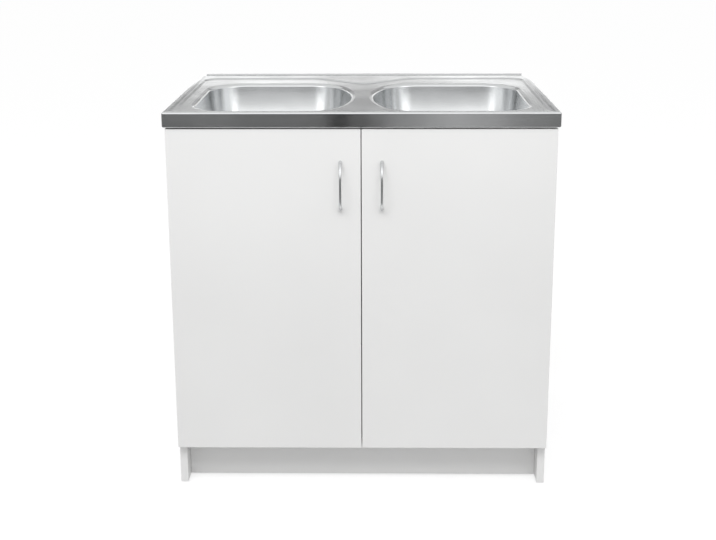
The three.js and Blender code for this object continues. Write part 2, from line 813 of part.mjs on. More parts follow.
// Strainer pieces, about the drain at the height of the bowl floor.
function strainerGeometry() {
  const flangeTop = fit + strainerFlangeHeight;
  const inner = strainerRadius - strainerWall;
  const bore = pipeRadius - pipeWall;
  return lathed([
    [bore, -strainerDeep - tailLength],
    [pipeRadius, -strainerDeep - tailLength],
    [pipeRadius, -strainerDeep - strainerWall],
    [strainerRadius, -strainerDeep + strainerWall],
    [strainerRadius, fit],
    [strainerRadius + strainerFlange, fit],
    [strainerRadius + strainerFlangeTop, flangeTop],
    [strainerRadius + strainerWall, flangeTop],
    [inner, fit - strainerWall],
    [inner, -strainerDeep + 2 * strainerWall],
    [bore, -strainerDeep],
  ], true);
}

function basketGeometry() {
  const seat = -strainerDeep + 2 * strainerWall;
  const bottom = seat + fit;
  const base = bottom + stopperHeight;
  const outer = strainerRadius - strainerWall - basketClear;
  const top = base + basketHeight;
  const bottomRadius = outer - basketTaper;
  const stemTop = top - knobHeight;
  return lathed([
    [0, bottom],
    [stopperRadius, bottom],
    [stopperRadius, base],
    [bottomRadius, base],
    [outer, top],
    [outer - basketWall, top],
    [bottomRadius - basketWall, base + basketWall],
    [stemRadius, base + basketWall],
    [stemRadius, stemTop],
    [knobRadius, stemTop],
    [knobTop, top],
    [0, top],
  ]);
}

// A union nut: its thread runs over the outer piece and its lip over the pipe.
function nutProfile(threadRadius, holeRadius) {
  const outer = threadRadius + fit + nutWall;
  return [
    [holeRadius + fit, 0],
    [outer, 0],
    [outer, nutHeight],
    [threadRadius + fit, nutHeight],
    [threadRadius + fit, nutLip],
    [holeRadius + fit, nutLip],
  ];
}

function nutGeometry(threadRadius, holeRadius) {
  return lathed(nutProfile(threadRadius, holeRadius), true);
}

// Circle with a bore, for a pipe drawn along a path.
function pipeSection() {
  const section = new THREE.Shape();
  section.absarc(0, 0, pipeRadius, 0, 2 * Math.PI);
  const bore = new THREE.Path();
  bore.absarc(0, 0, pipeRadius - pipeWall, 0, 2 * Math.PI, true);
  section.holes.push(bore);
  return section;
}

const teeStop = teeHalf - socketDeep; // where a pipe ends inside the tee
const pipeEndX = teeStop + fit;

// Pipe from below a strainer, down, round a bend and level to the tee. It starts over the drain.
function elbowGeometry(sign) {
  const turnX = sign * (bowlMiddle - elbowRadius);
  const path = new THREE.CurvePath();
  const corner = new THREE.Vector3(sign * bowlMiddle, 0, pipeAxis);
  const down = new THREE.Vector3(sign * bowlMiddle, 0, pipeAxis + elbowRadius);
  const out = new THREE.Vector3(turnX, 0, pipeAxis);
  const start = new THREE.Vector3(sign * bowlMiddle, 0, pipeTop);
  const end = new THREE.Vector3(sign * pipeEndX, 0, pipeAxis);
  path.add(new THREE.LineCurve3(start, down));
  const leaving = down.clone().lerp(corner, quarterCurve);
  const arriving = out.clone().lerp(corner, quarterCurve);
  path.add(new THREE.CubicBezierCurve3(down, leaving, arriving, out));
  path.add(new THREE.LineCurve3(out, end));
  const options = { steps: bendSteps, curveSegments: roundSides / 2, extrudePath: path };
  return new THREE.ExtrudeGeometry(pipeSection(), options);
}

// Tee about the crossing of its axes: the two pipes push in from the sides, the branch points down.
function teeGeometry() {
  const along = (geometry) => geometry.rotateY(Math.PI / 2);
  const bore = pipeRadius - pipeWall;
  return shaped(
    [along(rod(neckRadius, -teeHalf, teeHalf)), rod(neckRadius, -branchDrop, 0)],
    [
      along(rod(bore, -teeHalf - past, teeHalf + past)),
      along(rod(pipeRadius + fit, teeStop, teeHalf + past)),
      along(rod(pipeRadius + fit, -teeHalf - past, -teeStop)),
      rod(bore, -branchDrop - past, 0),
    ],
  );
}

// Bottle of the trap, from its top down, with a stub for the outlet that points back.
function bottleGeometry() {
  const shoulder = -neckDeep - (bottleRadius - neckRadius);
  const outside = lathed([
    [0, -bottleHeight],
    [bottleFoot, -bottleHeight],
    [bottleRadius, bottleFootRise - bottleHeight],
    [bottleRadius, shoulder],
    [neckRadius, -neckDeep],
    [neckRadius, 0],
    [0, 0],
  ]);
  const inner = bottleRadius - bottleWall;
  const floor = bottleWall - bottleHeight;
  const inside = lathed([
    [0, floor],
    [bottleFoot - bottleWall, floor],
    [inner, floor + bottleFootRise],
    [inner, shoulder - bottleWall / 2],
    [neckRadius - bottleWall, -neckDeep],
    [neckRadius - bottleWall, past],
    [0, past],
  ]);
  const stubEnd = bottleRadius + outletStub;
  const stub = pointingBack(rod(neckRadius, 0, stubEnd)).translate(0, 0, -outletDrop);
  const stubBore = pointingBack(rod(pipeRadius - pipeWall, 0, stubEnd + past));
  const socket = pointingBack(rod(pipeRadius + fit, stubEnd - socketDeep, stubEnd + past));
  return shaped(
    [outside, stub],
    [inside, stubBore.translate(0, 0, -outletDrop), socket.translate(0, 0, -outletDrop)],
  );
}

// The dip tube hangs by its collar between the tee's branch and the bottle.
function dipTubeGeometry() {
  const length = bottleHeight - bottleWall - dipToFloor;
  return lathed([
    [dipRadius - pipeWall, -length],
    [dipRadius, -length],
    [dipRadius, fit],
    [neckRadius, fit],
    [neckRadius, fit + dipCollar],
    [dipRadius - pipeWall, fit + dipCollar],
  ], true);
}

// The ring nut spans the branch, the collar and the bottle's neck.
function ringNutGeometry() {
  const outer = neckRadius + fit + nutWall;
  const below = neckDeep - fit;
  const above = nutHeight;
  return lathed([
    [neckRadius + fit, -below],
    [outer, -below],
    [outer, above - nutLip],
    [outer - nutLip, above],
    [neckRadius + fit, above],
  ], true);
}

function addSideWaste(side, sign) {
  const drain = groupAt(unit, sign * bowlMiddle, drainDepth, bowlFloor);
  part(drain, `strainer_body_${side}`, strainerGeometry(), steelSheet);
  part(drain, `strainer_basket_${side}`, basketGeometry(), steelSheet);
  const grip = strainerRadius + fit;
  const flangeEdge = strainerRadius + strainerFlange;
  const washerTop = -sheet - fit;
  const washer = ring(grip, flangeEdge - washerInset, washerTop - washerHeight, washerTop);
  part(drain, `strainer_washer_${side}`, washer, blackRubber);
  const nutTop = washerTop - washerHeight - fit;
  const nut = ring(grip, flangeEdge - backNutInset, nutTop - backNutHeight, nutTop);
  part(drain, `strainer_nut_${side}`, nut, whitePlastic);
  const coupling = lathed([
    [pipeRadius + fit, -nutHeight / 2],
    [pipeRadius + fit + nutWall, -nutHeight / 2],
    [pipeRadius + fit + nutWall, nutHeight / 2],
    [pipeRadius + fit, nutHeight / 2],
  ], true);
  part(unit, `coupling_nut_${side}`, coupling, whitePlastic, sign * bowlMiddle, drainDepth, tailBottom);
  part(unit, `waste_elbow_${side}`, elbowGeometry(sign), whitePlastic, 0, drainDepth);
  const teeNut = nutGeometry(neckRadius, pipeRadius).rotateY((-sign * Math.PI) / 2);
  const teeNutX = sign * (teeHalf + fit + nutLip);
  part(unit, `tee_nut_${side}`, teeNut, whitePlastic, teeNutX, drainDepth, pipeAxis);
}

function addTrap() {
  const trap = groupAt(unit, 0, drainDepth, bottleTop);
  part(trap, 'waste_tee', teeGeometry(), whitePlastic, 0, 0, pipeAxis - bottleTop);
  part(trap, 'trap_bottle', bottleGeometry(), whitePlastic);
  part(trap, 'trap_dip_tube', dipTubeGeometry(), whitePlastic);
  part(trap, 'trap_ring_nut', ringNutGeometry(), whitePlastic);
  const stubEnd = bottleRadius + outletStub;
  const nut = nutGeometry(neckRadius, pipeRadius).rotateX(Math.PI / 2);
  part(trap, 'outlet_nut', nut, whitePlastic, 0, stubEnd + fit + nutLip, -outletDrop);
  const pipeStart = stubEnd - socketDeep + fit;
  const pipeEnd = sinkDepth - outletToBack - drainDepth;
  const pipe = pointingBack(ring(pipeRadius - pipeWall, pipeRadius, pipeStart, pipeEnd));
  part(trap, 'outlet_pipe', pipe, whitePlastic, 0, 0, outletHeight - bottleTop);
}

// ---- The whole unit ----

function addSink() {
  part(unit, 'sink_deck', deckGeometry(), steelSheet);
  part(unit, 'bowl_left', bowlGeometry(leftBowl), steelSheet, -bowlMiddle, drainDepth);
  part(unit, 'bowl_right', bowlGeometry(rightBowl), steelSheet, bowlMiddle, drainDepth);
}

addCabinet();
for (const [side, sign] of sides) {
  addDoor(side, sign);
  addHinges(side, sign);
  addSideWaste(side, sign);
}
addTrap();
addSink();

export default unit;
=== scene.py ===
"""Looks of a kitchen sink unit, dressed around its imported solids.

Lengths are in millimetres until a mesh is made, heights are above the floor, and the front faces -Y.
"""

import math

import bpy
import numpy as np
from mathutils import Matrix, Vector
from mathutils.geometry import delaunay_2d_cdt


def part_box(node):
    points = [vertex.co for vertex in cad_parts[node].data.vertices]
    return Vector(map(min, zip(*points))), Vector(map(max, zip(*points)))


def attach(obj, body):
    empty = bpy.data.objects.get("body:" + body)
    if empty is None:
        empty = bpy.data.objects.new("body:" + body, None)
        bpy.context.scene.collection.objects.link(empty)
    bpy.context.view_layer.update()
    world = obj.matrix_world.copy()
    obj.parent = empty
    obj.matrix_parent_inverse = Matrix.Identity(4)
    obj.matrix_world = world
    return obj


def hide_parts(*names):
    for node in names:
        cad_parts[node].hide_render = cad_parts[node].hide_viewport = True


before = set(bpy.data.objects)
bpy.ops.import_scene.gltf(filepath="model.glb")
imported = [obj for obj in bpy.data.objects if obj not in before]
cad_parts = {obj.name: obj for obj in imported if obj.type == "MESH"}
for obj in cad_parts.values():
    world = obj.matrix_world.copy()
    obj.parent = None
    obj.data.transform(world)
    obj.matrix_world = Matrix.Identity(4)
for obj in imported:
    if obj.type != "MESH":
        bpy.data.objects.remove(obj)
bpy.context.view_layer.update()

MM = 0.001
SIDES = (("left", -1), ("right", 1))
ENDS = (("lower", -1), ("upper", 1))


def sized(node):
    """Lowest corner, highest corner, middle and half width of a solid, in millimetres."""
    low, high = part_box(node)
    low, high = np.array(low) / MM, np.array(high) / MM
    return low, high, (low + high) / 2, (high[0] - low[0]) / 2


# ---- Sizes of the sink, as the solids have them ----
SHEET = 0.9
ROLL_RADIUS = 4
ROLL_FLAT = 6
ROLL_SLOPE = 4
ROLL_DROP = 2.5
HEM_RADIUS = 3.2
HEM_RETURN = 4.2
EDGE_CORNER = 4
RECESS_DROP = 2
RECESS_SLOPE = 6
RECESS_SIDE = 17
RECESS_FRONT = 30
RECESS_BACK = 66
RECESS_BACK_CORNER = 40
RECESS_FRONT_CORNER = 14
LEDGE_WIDTH = 220
LEDGE_REACH = 92
LEDGE_CORNER = 24
BOWL_SIDE = 50
BOWL_FRONT = 47
BOWL_BACK = 160
WEB_WIDTH = 48
BOWL_CORNER = 85
BOWL_BULGE = 416
BOWL_DEEP = 142
LIP_RADIUS = 6
WALL_LEAN = (2.5, 6, 9, 13, 18)  # degrees, from the lip down to the floor bend
RIM_SLOPE = (6.2, 9.2)
RIM_DROP = 0.7
FLOOR_FILLET = 54
FLOOR_FALL = 2.5
QUARTER_CURVE = 0.5523  # pull of a Bezier handle that gives a quarter circle
FLAT_MARGIN = 0.6  # ring that keeps a flat stretch flat next to a bend
TRIANGLES_INSIDE = 1  # kind of triangulation
SEAT_MARGIN = 1
HOLE_DROP = 0.1

# ---- How finely the sink is divided ----
ARC_STEP = 5
WALL_RUN = 8
HEM_STEPS = 6
ROLL_STEPS = 8
SLOPE_STEPS = 6
RECESS_STEPS = 8
RIM_STEPS = 4
LIP_STEPS = 8
WALL_STEPS = 10
BEND_STEPS = 12
FLOOR_STEPS = 10
DECK, BOWL = 0, 1  # material slots of the sheet

# ---- Sizes of the fittings, as the solids have them ----
FIT = 0.3
BOW_POWER = 2.2
BOW_STEPS = 60
BOW_SIDES = 24
TURN_STEP = 0.01
HANDLE_MIDDLE = (5, 5.2)  # width and thickness of the bow in its middle
HANDLE_FOOT = (7.6, 8)
SCREW_RADIUS = 1.75
SCREW_HEAD = 2
SCREW_SIDES = 24
SCREW_SHIFT = 0.001  # keeps the sides off the corners of the recess
SCREW_REACH = 0.55  # arms of the cross recess over the head's radius
SCREW_ARM = 0.26  # half width of an arm over its reach
SCREW_DOME = ((1, 0.4), (0.94, 0.75), (0.76, 1))  # shares of radius and height
SCREW_PIT = ((1, 1), (0.9, 0.35))
PIT_FLOOR = 0.3
THREAD_PITCH = 0.7
THREAD_TIP = 0.7
THREAD_ROOT = 0.82
THREAD_START = 0.5
THREAD_REST = 4
BUMPER_PROFILE = ((0, 0), (1, 0), (1, 0.5), (0.8, 0.9), (0, 1))
GLIDE_HEIGHT = 3
GLIDE_PIN = 1.5
GLIDE_SOLE = 0.82
GLIDE_EDGE = 1.1
CUP_SIDES = 96
CUP_WALL = 0.8
CUP_FLOOR = 0.6
CUP_FLANGE = 1
CUP_SCREW = (3.4, 0.9)
CUP_INSET = 6  # of its screws
WING_HALF = 10
WING_ROUND = 3
SCREW_RISE = 1.0
PLATE_SCREW = 3.6
PLATE_SPREAD = 0.36
ARM_SCREW = 3.0
ARM_INSETS = (8, 20)
ARM_STEP = 0.1
PIPE_WALL = 2
PIPE_RADIUS = 20
PIPE_BORE = PIPE_RADIUS - PIPE_WALL
PIPE_SOCKET = PIPE_RADIUS + FIT
PIPE_SIDES = 72
CUT_PAST = 1
NECK_RADIUS = 24.3
NECK_SOFT = 0.6
NUT_WALL = 4
NUT_HEIGHT = 18
NUT_LIP = 3
RIBS = 18
RIB_DEPTH = 0.7
RIB_BAND = 0.3
DRAIN_RADIUS = 45
STRAINER_RADIUS = 44
STRAINER_FLANGE = 12
STRAINER_SHELL = STRAINER_RADIUS - PIPE_WALL
WASHER_SIDES = 192
CAGE_SIDES = 72
CAGE_SHEET = 0.7
CAGE_EDGE = 0.4
CAGE_BASE = 5.7
CAGE_RINGS = (4, 8, 16, 19, 29, 32.5)
CAGE_FOOT = (34.6, 1.2)  # radius and rise
CAGE_WALL = (0.12, 0.42, 0.5, 0.8, 0.95, 1)
CAGE_SLOTS = {1: 6, 3: 3, 7: 3, 9: 3}  # sides from one slot to the next, for each open row
PLUG_HEIGHT = 5
KNOB_HEIGHT = 6
ELBOW_RADIUS = 36
ELBOW_STEPS = 18
TEE_SOCKET = 30
BOTTLE_WALL = 2.5
BOTTLE_NECK = 15
OUTLET_SOCKET = 20
DIP_RADIUS = 14
COLLAR = 3
CORNER_SHARE = 0.45  # most of a side that the round of a corner takes
TINY = 1e-6

# ---- Tones and places of the studio, in metres ----
STEEL = (0.62, 0.63, 0.635)
WHITE = (0.87, 0.87, 0.865)
BARE_FACING = (0.7, 0.9)  # backward part of a normal from which an edge is bare
CHIP_DARK = (0.3, 0.2, 0.11)
CHIP_LIGHT = (0.6, 0.46, 0.3)
FIBRE_DARK = (0.27, 0.17, 0.09)
FIBRE_LIGHT = (0.46, 0.32, 0.19)
FLOOR_TONE = 0.45
FLOOR_GLOW = 0.64
FLOOR_REACH = 60
WORLD_LIGHT = 0.78
CARD_REACH = 3.0
FRONT_TONES = (
    (-3.0, 0.25), (-0.56, 0.17), (-0.12, 0.16), (-0.09, 0.0), (-0.042, 0.0), (-0.032, 0.22), (-0.018, 0.22),
    (-0.011, 0.0), (0.008, 0.0), (0.017, 0.2), (0.042, 0.22), (0.049, 0.08), (0.058, 0.25), (0.25, 0.5),
    (0.37, 0.4), (0.5, 0.2), (3.0, 0.25),
)
BACK_TONES = ((-3.0, 0.15), (-0.5, 0.1), (-0.2, 0.1), (0.0, 0.0), (0.2, 0.1), (0.5, 0.1), (3.0, 0.15))
LEFT_SOFTBOX_TONES = ((-3.0, 2.3), (-1.3, 2.3), (-1.05, 1.4), (3.0, 1.4))
RIGHT_SOFTBOX_TONES = ((-3.0, 1.4), (1.05, 1.4), (1.3, 2.3), (3.0, 2.3))
TOP_SOFTBOX_TONES = ((-3.0, 1.6), (3.0, 1.6))
BACK_GLOW_TONES = ((-3.0, 1.9), (-0.3, 1.9), (0.0, 1.3), (0.3, 1.9), (3.0, 1.9))
SIDE_TONES = ((-3.0, 0.3), (3.0, 0.3))
# Each card: its two lower corners, the way up from them, and its tones from left to right.
CARDS = {
    "front_card": ((-3, -0.6, 0.01), (3, -0.6, 0.01), (0, -1, 0.89), FRONT_TONES),
    "left_card": ((-2, -1.4, 0.01), (-2, 1.4, 0.01), (0, 0, 0.89), SIDE_TONES),
    "right_card": ((2, -1.4, 0.01), (2, 1.4, 0.01), (0, 0, 0.89), SIDE_TONES),
    "rear_card": ((-3, 0.9, 0.01), (3, 0.9, 0.01), (0, 0, 0.78), SIDE_TONES),
    "back_glow": ((-3, 0.75, 0.8), (3, 0.75, 0.8), (0, 0, 0.125), BACK_GLOW_TONES),
    "back_card": ((-3, 0.75, 0.93), (3, 0.75, 0.93), (0, 0, 0.13), BACK_TONES),
    "left_softbox": ((-2.8, -1.6, 0.9), (-0.85, -1.6, 0.9), (0, 0, 1.3), LEFT_SOFTBOX_TONES),
    "right_softbox": ((0.85, -1.6, 0.9), (2.8, -1.6, 0.9), (0, 0, 1.3), RIGHT_SOFTBOX_TONES),
    "top_softbox": ((-0.85, -1.6, 1.16), (0.85, -1.6, 1.16), (0, 0.3, 1.3), TOP_SOFTBOX_TONES),
}
LAMP_PLACE = (-0.2, -2.0, 2.7)
LAMP_AIM = (0, 0, 0.75)
LAMP_SIZE = (2.6, 1.2)
LAMP_POWER = 45
IMAGE_WIDTH = 716
CAMERA_SENSOR = 36
CAMERA_PLACE = (0.03, -2.6425, 1.202)
CAMERA_ANGLES = (-0.89, 14.21, -0.2)  # yaw, pitch down and roll in degrees
CAMERA_FOCAL = 1192.2  # in pixels
CAMERA_SHIFT = -0.075
CAMERA_REACH = 200

# ---- Places in the frame ----
deck_low, deck_high, _, _ = sized("sink_deck")
FRONT = deck_low[1]
SINK_WIDTH = deck_high[0] - deck_low[0]
SINK_DEPTH = deck_high[1] - deck_low[1]
UNIT_HEIGHT = deck_high[2]
APRON_BOTTOM = deck_low[2]
DECK_TOP = UNIT_HEIGHT - ROLL_DROP
RECESS_TOP = DECK_TOP - RECESS_DROP
BOWL_WIDTH = (SINK_WIDTH - WEB_WIDTH) / 2 - BOWL_SIDE
BOWL_LENGTH = SINK_DEPTH - BOWL_FRONT - BOWL_BACK
BOWL_MIDDLE = (WEB_WIDTH + BOWL_WIDTH) / 2
DRAIN_Y = FRONT + BOWL_FRONT + BOWL_LENGTH / 2
BOWL_FLOOR = RECESS_TOP - BOWL_DEEP


# ---- Meshes ----


def in_scene(name, data):
    thing = bpy.data.objects.new(name, data)
    bpy.context.scene.collection.objects.link(thing)
    return thing


def linked(name, form, body, slot, *nodes, look=None):
    """Puts a mesh, or shapes that become one, into the scene as a smooth piece that may replace solids."""
    mesh = form if isinstance(form, bpy.types.Mesh) else mesh_of(name, form)
    mesh.name = name
    mesh.materials.append(look or looks[slot])
    mesh.shade_smooth()
    piece = in_scene(name, mesh)
    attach(piece, body)
    if nodes:
        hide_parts(*nodes)
    piece.modifiers.new("normals", "WEIGHTED_NORMAL")
    return piece


def thickened(piece, thickness, offset):
    """Gives a sheet its thickness: inwards from its points at -1 and half to each side at 0."""
    thick = piece.modifiers.new("sheet", "SOLIDIFY")
    thick.thickness = thickness * MM
    thick.offset = offset
    piece.modifiers.move(1, 0)


def mesh_of(name, shapes):
    """One mesh from (points in millimetres, faces) pairs."""
    points, faces = [], []
    for shape_points, shape_faces in shapes:
        start = sum(len(p) for p in points)
        points.append(np.asarray(shape_points, float))
        faces += [[start + i for i in face] for face in shape_faces]
    mesh = bpy.data.meshes.new(name)
    mesh.from_pydata((np.vstack(points) * MM).tolist(), [], faces)
    return mesh


def placed(shape, move=(0, 0, 0), turn=0, axis="X"):
    """A shape turned by degrees about an axis of its own and then moved."""
    points, faces = shape
    turned = np.asarray(points, float) @ np.array(Matrix.Rotation(math.radians(turn), 3, axis)).T
    return turned + np.asarray(move, float), faces


def strip(low, high):
    """Faces between two rings of point numbers. A ring of one point is the tip of a fan."""
    count = max(len(low), len(high))
    sides = [(j, (j + 1) % count) for j in range(count)]
    if len(low) == 1:
        return [(low[0], high[k], high[j]) for j, k in sides]
    if len(high) == 1:
        return [(low[j], low[k], high[0]) for j, k in sides]
    return [(low[j], low[k], high[k], high[j]) for j, k in sides]


def shares(steps):
    """Even steps from 0 to 1."""
    return np.linspace(0, 1, steps + 1)


def around(sides):
    """Angles of the corners of a regular polygon."""
    return np.arange(sides) * 2 * math.pi / sides


def filleted(profile, radius, closed, steps=3):
    """A profile of (radius, height) pairs with its corners rounded."""
    points = [np.array(p, float) for p in profile]
    result = []
    for i, corner in enumerate(points):
        if not closed and i in (0, len(points) - 1):
            result.append(corner)
            continue
        sides = [points[i - 1] - corner, points[(i + 1) % len(points)] - corner]
        lengths = [np.linalg.norm(side) for side in sides]
        reach = min(radius, CORNER_SHARE * min(lengths))
        start, end = (corner + side / length * reach for side, length in zip(sides, lengths))
        result += [curved([start, corner, end], t) for t in shares(steps)]
    return result


def curved(handles, t):
    """Point of the Bezier curve that a few handles pull."""
    while len(handles) > 1:
        handles = [a + (b - a) * t for a, b in zip(handles, handles[1:])]
    return handles[0]


def skinned(rings, closed=False):
    """The points of several rings and the faces from each ring to the next."""
    ends = np.cumsum([len(ring) for ring in rings])
    numbers = [list(range(end - len(ring), end)) for ring, end in zip(rings, ends)]
    pairs = zip(numbers, numbers[1:] + numbers[: int(closed)])
    return np.vstack(rings), [face for pair in pairs for face in strip(*pair)]


def about_z(rows, angles, closed=False):
    """Rings about z. A row is a radius, or one for each angle, and a height."""
    circle, rings = np.column_stack([np.cos(angles), np.sin(angles)]), []
    for radius, height in rows:
        tip = np.ndim(radius) == 0 and radius < TINY
        rings.append([(0, 0, height)] if tip else raised((circle.T * radius).T, height))
    return skinned(rings, closed)


def lathed(profile, closed=False, sides=72, soft=0.5, ribs=0, rib_depth=0.0, rib_from=0.0):
    """Solid of revolution about z. Ribs stand out where the radius is at least rib_from."""
    angles = around(sides)
    sunk = rib_depth * (np.cos(angles * ribs) < 0) if ribs else 0
    rows = filleted(profile, soft, closed) if soft else profile
    return about_z([(r - sunk if r >= rib_from and ribs else r, z) for r, z in rows], angles, closed)


def rod(radius, low, high, soft, sides):
    return lathed([(0, low), (radius, low), (radius, high), (0, high)], soft=soft, sides=sides)


def tube(path, outer, inner, sides=48):
    """Pipe with an open bore along a path of points in the xz plane."""
    path = np.asarray(path, float)
    along = np.gradient(path, axis=0)
    along /= np.linalg.norm(along, axis=1)[:, None]
    away = np.stack([-along[:, 2], np.zeros(len(path)), along[:, 0]], 1)
    rings, angles = [], around(sides)
    for radius, order in ((outer, 1), (inner, -1)):
        for centre, direction in list(zip(path, away))[::order]:
            side = np.outer(np.cos(angles), direction) + np.outer(np.sin(angles), (0, 1, 0))
            rings.append(centre + radius * side)
    points, faces = skinned(rings, closed=True)
    return points, [face[::-1] for face in faces]


# ---- Outlines of the sink: rows of x, y and the outward direction there ----


def arc_of(cx, cy, radius, start, end, steps=0):
    side = 1 if end > start else -1  # -1 on a hollow corner
    steps = steps or max(1, math.ceil(abs(end - start) / ARC_STEP))
    angles = np.radians(np.linspace(start, end, steps + 1))
    out = np.stack([np.cos(angles), np.sin(angles)], 1)
    return np.hstack([(cx, cy) + radius * out, out * side])


def rounded_polygon(corners):
    """Outline through corners given as (x, y, radius), counterclockwise."""
    arcs = []
    for i, (x, y, radius) in enumerate(corners):
        at = Vector((x, y))
        before = Vector(corners[i - 1][:2])
        after = Vector(corners[(i + 1) % len(corners)][:2])
        arriving, leaving = (at - before).normalized(), (after - at).normalized()
        turn = math.atan2(arriving.cross(leaving), arriving.dot(leaving))
        inward = Vector((-arriving.y, arriving.x)) * math.copysign(1, turn)
        centre = at - arriving * radius * math.tan(abs(turn) / 2) + inward * radius
        start = math.degrees(math.atan2(-inward.y, -inward.x))
        arcs.append(arc_of(centre.x, centre.y, radius, start, start + math.degrees(turn)))
    return np.vstack(arcs)


def filled_in(outline):
    """The outline with points added wherever two lie further apart than WALL_RUN."""
    rows = []
    for row, after in zip(outline, np.roll(outline, -1, axis=0)):
        pieces = max(1, math.ceil(np.hypot(*(after - row)[:2]) / WALL_RUN))
        for k in range(pieces):
            point = row + (after - row) * k / pieces
            point[2:] /= np.hypot(*point[2:])
            rows.append(point)
    return np.array(rows)


def level(outline, distance, height):
    """Ring of points at a distance outside an outline."""
    return raised(outline[:, :2] + outline[:, 2:] * distance, height)


def raised(plan, height):
    return np.column_stack([plan, np.full(len(plan), height)])


def edge_outline(inset):
    """Rectangle of the sink, moved inwards. Its corners keep a small radius."""
    half, front, back = SINK_WIDTH / 2 - inset, FRONT + inset, FRONT + SINK_DEPTH - inset
    radius = max(EDGE_CORNER - inset, 1)
    corners = (-half, front), (half, front), (half, back), (-half, back)
    return rounded_polygon([(x, y, radius) for x, y in corners])


def recess_outline():
    half, front, back = SINK_WIDTH / 2 - RECESS_SIDE, FRONT + RECESS_FRONT, FRONT + SINK_DEPTH - RECESS_BACK
    outline = rounded_polygon([
        (-half, front, RECESS_FRONT_CORNER),
        (half, front, RECESS_FRONT_CORNER),
        (half, back, RECESS_BACK_CORNER),
        (LEDGE_WIDTH / 2, back, LEDGE_CORNER),
        (0, back - LEDGE_REACH, LEDGE_CORNER),
        (-LEDGE_WIDTH / 2, back, LEDGE_CORNER),
        (-half, back, RECESS_BACK_CORNER),
    ])
    return filled_in(outline)


def bowl_outline(sign):
    """Opening of a bowl about its own middle, with its bulging side towards the other bowl."""
    half, corner_y = BOWL_WIDTH / 2, BOWL_LENGTH / 2 - BOWL_CORNER
    bulge_x = half - BOWL_BULGE
    inner_x = bulge_x + math.sqrt((BOWL_BULGE - BOWL_CORNER) ** 2 - corner_y**2)
    swing = math.degrees(math.atan2(corner_y, inner_x - bulge_x))
    outer_x = BOWL_CORNER - half
    outline = np.vstack([
        arc_of(outer_x, -corner_y, BOWL_CORNER, 180, 270),
        arc_of(inner_x, -corner_y, BOWL_CORNER, 270, 360 - swing),
        arc_of(bulge_x, 0, BOWL_BULGE, -swing, swing)[1:-1],
        arc_of(inner_x, corner_y, BOWL_CORNER, swing, 90),
        arc_of(outer_x, corner_y, BOWL_CORNER, 90, 180),
    ])
    if sign > 0:
        outline = outline[::-1] * (-1, 1, -1, 1)
    return filled_in(outline)


# ---- Sections of the sink: pairs of distance outside an outline and height ----


def edge_section():
    """From the turned-in hem up the apron and over the rolled edge to the flat of the deck."""
    start = -(ROLL_RADIUS + ROLL_FLAT)
    slope = [(start - ROLL_SLOPE * t, UNIT_HEIGHT - ROLL_DROP * smooth(t)) for t in shares(SLOPE_STEPS)]
    return [
        (-HEM_RETURN, APRON_BOTTOM),
        *arc_of(-HEM_RADIUS, APRON_BOTTOM + HEM_RADIUS, HEM_RADIUS, -90, 0, HEM_STEPS)[:, :2],
        (0, APRON_BOTTOM + HEM_RADIUS + FLAT_MARGIN),
        (0, UNIT_HEIGHT - ROLL_RADIUS - FLAT_MARGIN),
        *arc_of(-ROLL_RADIUS, UNIT_HEIGHT - ROLL_RADIUS, ROLL_RADIUS, 0, 90, ROLL_STEPS)[:, :2],
        *slope,
        (start - ROLL_SLOPE - FLAT_MARGIN, DECK_TOP),
    ]


def smooth(t):
    return t * t * (3 - 2 * t)


def recess_section():
    slope = [(-RECESS_SLOPE * t, DECK_TOP - RECESS_DROP * smooth(t)) for t in shares(RECESS_STEPS)]
    return [(FLAT_MARGIN, DECK_TOP), *slope, (-RECESS_SLOPE - FLAT_MARGIN, RECESS_TOP)]


def bowl_section():
    """Down a shallow step, over the lip, down a wall that leans in more and more, and round to the floor."""
    rim = RECESS_TOP - RIM_DROP
    top, foot = rim - LIP_RADIUS, BOWL_FLOOR + FLOOR_FALL
    wall_end = foot + FLOOR_FILLET
    near, far = RIM_SLOPE
    step = [(far + (near - far) * t, RECESS_TOP - RIM_DROP * smooth(t)) for t in shares(RIM_STEPS)]
    lip = arc_of(LIP_RADIUS, top, LIP_RADIUS, 90, 180, LIP_STEPS)[:, :2]
    wall, drop = [(0, top)], (top - wall_end) / WALL_STEPS
    for t in (np.arange(WALL_STEPS) + 0.5) / WALL_STEPS:
        lean = np.interp(t, shares(len(WALL_LEAN) - 1), WALL_LEAN)
        wall.append((wall[-1][0] - drop * math.tan(math.radians(lean)), wall[-1][1] - drop))
    lean = math.radians(WALL_LEAN[-1])
    start, end = np.array(wall[-1]), np.array([wall[-1][0] - FLOOR_FILLET, foot])
    pull = QUARTER_CURVE * FLOOR_FILLET
    leaving = start + pull * np.array([-math.sin(lean), -math.cos(lean)])
    arriving = end + (pull, 0)
    bend = [curved([start, leaving, arriving, end], t) for t in shares(BEND_STEPS)[1:]]
    return [(far + FLAT_MARGIN, RECESS_TOP), *step, *lip, *wall[1:], *bend]


# ---- The sink: one pressed sheet with two bowls ----


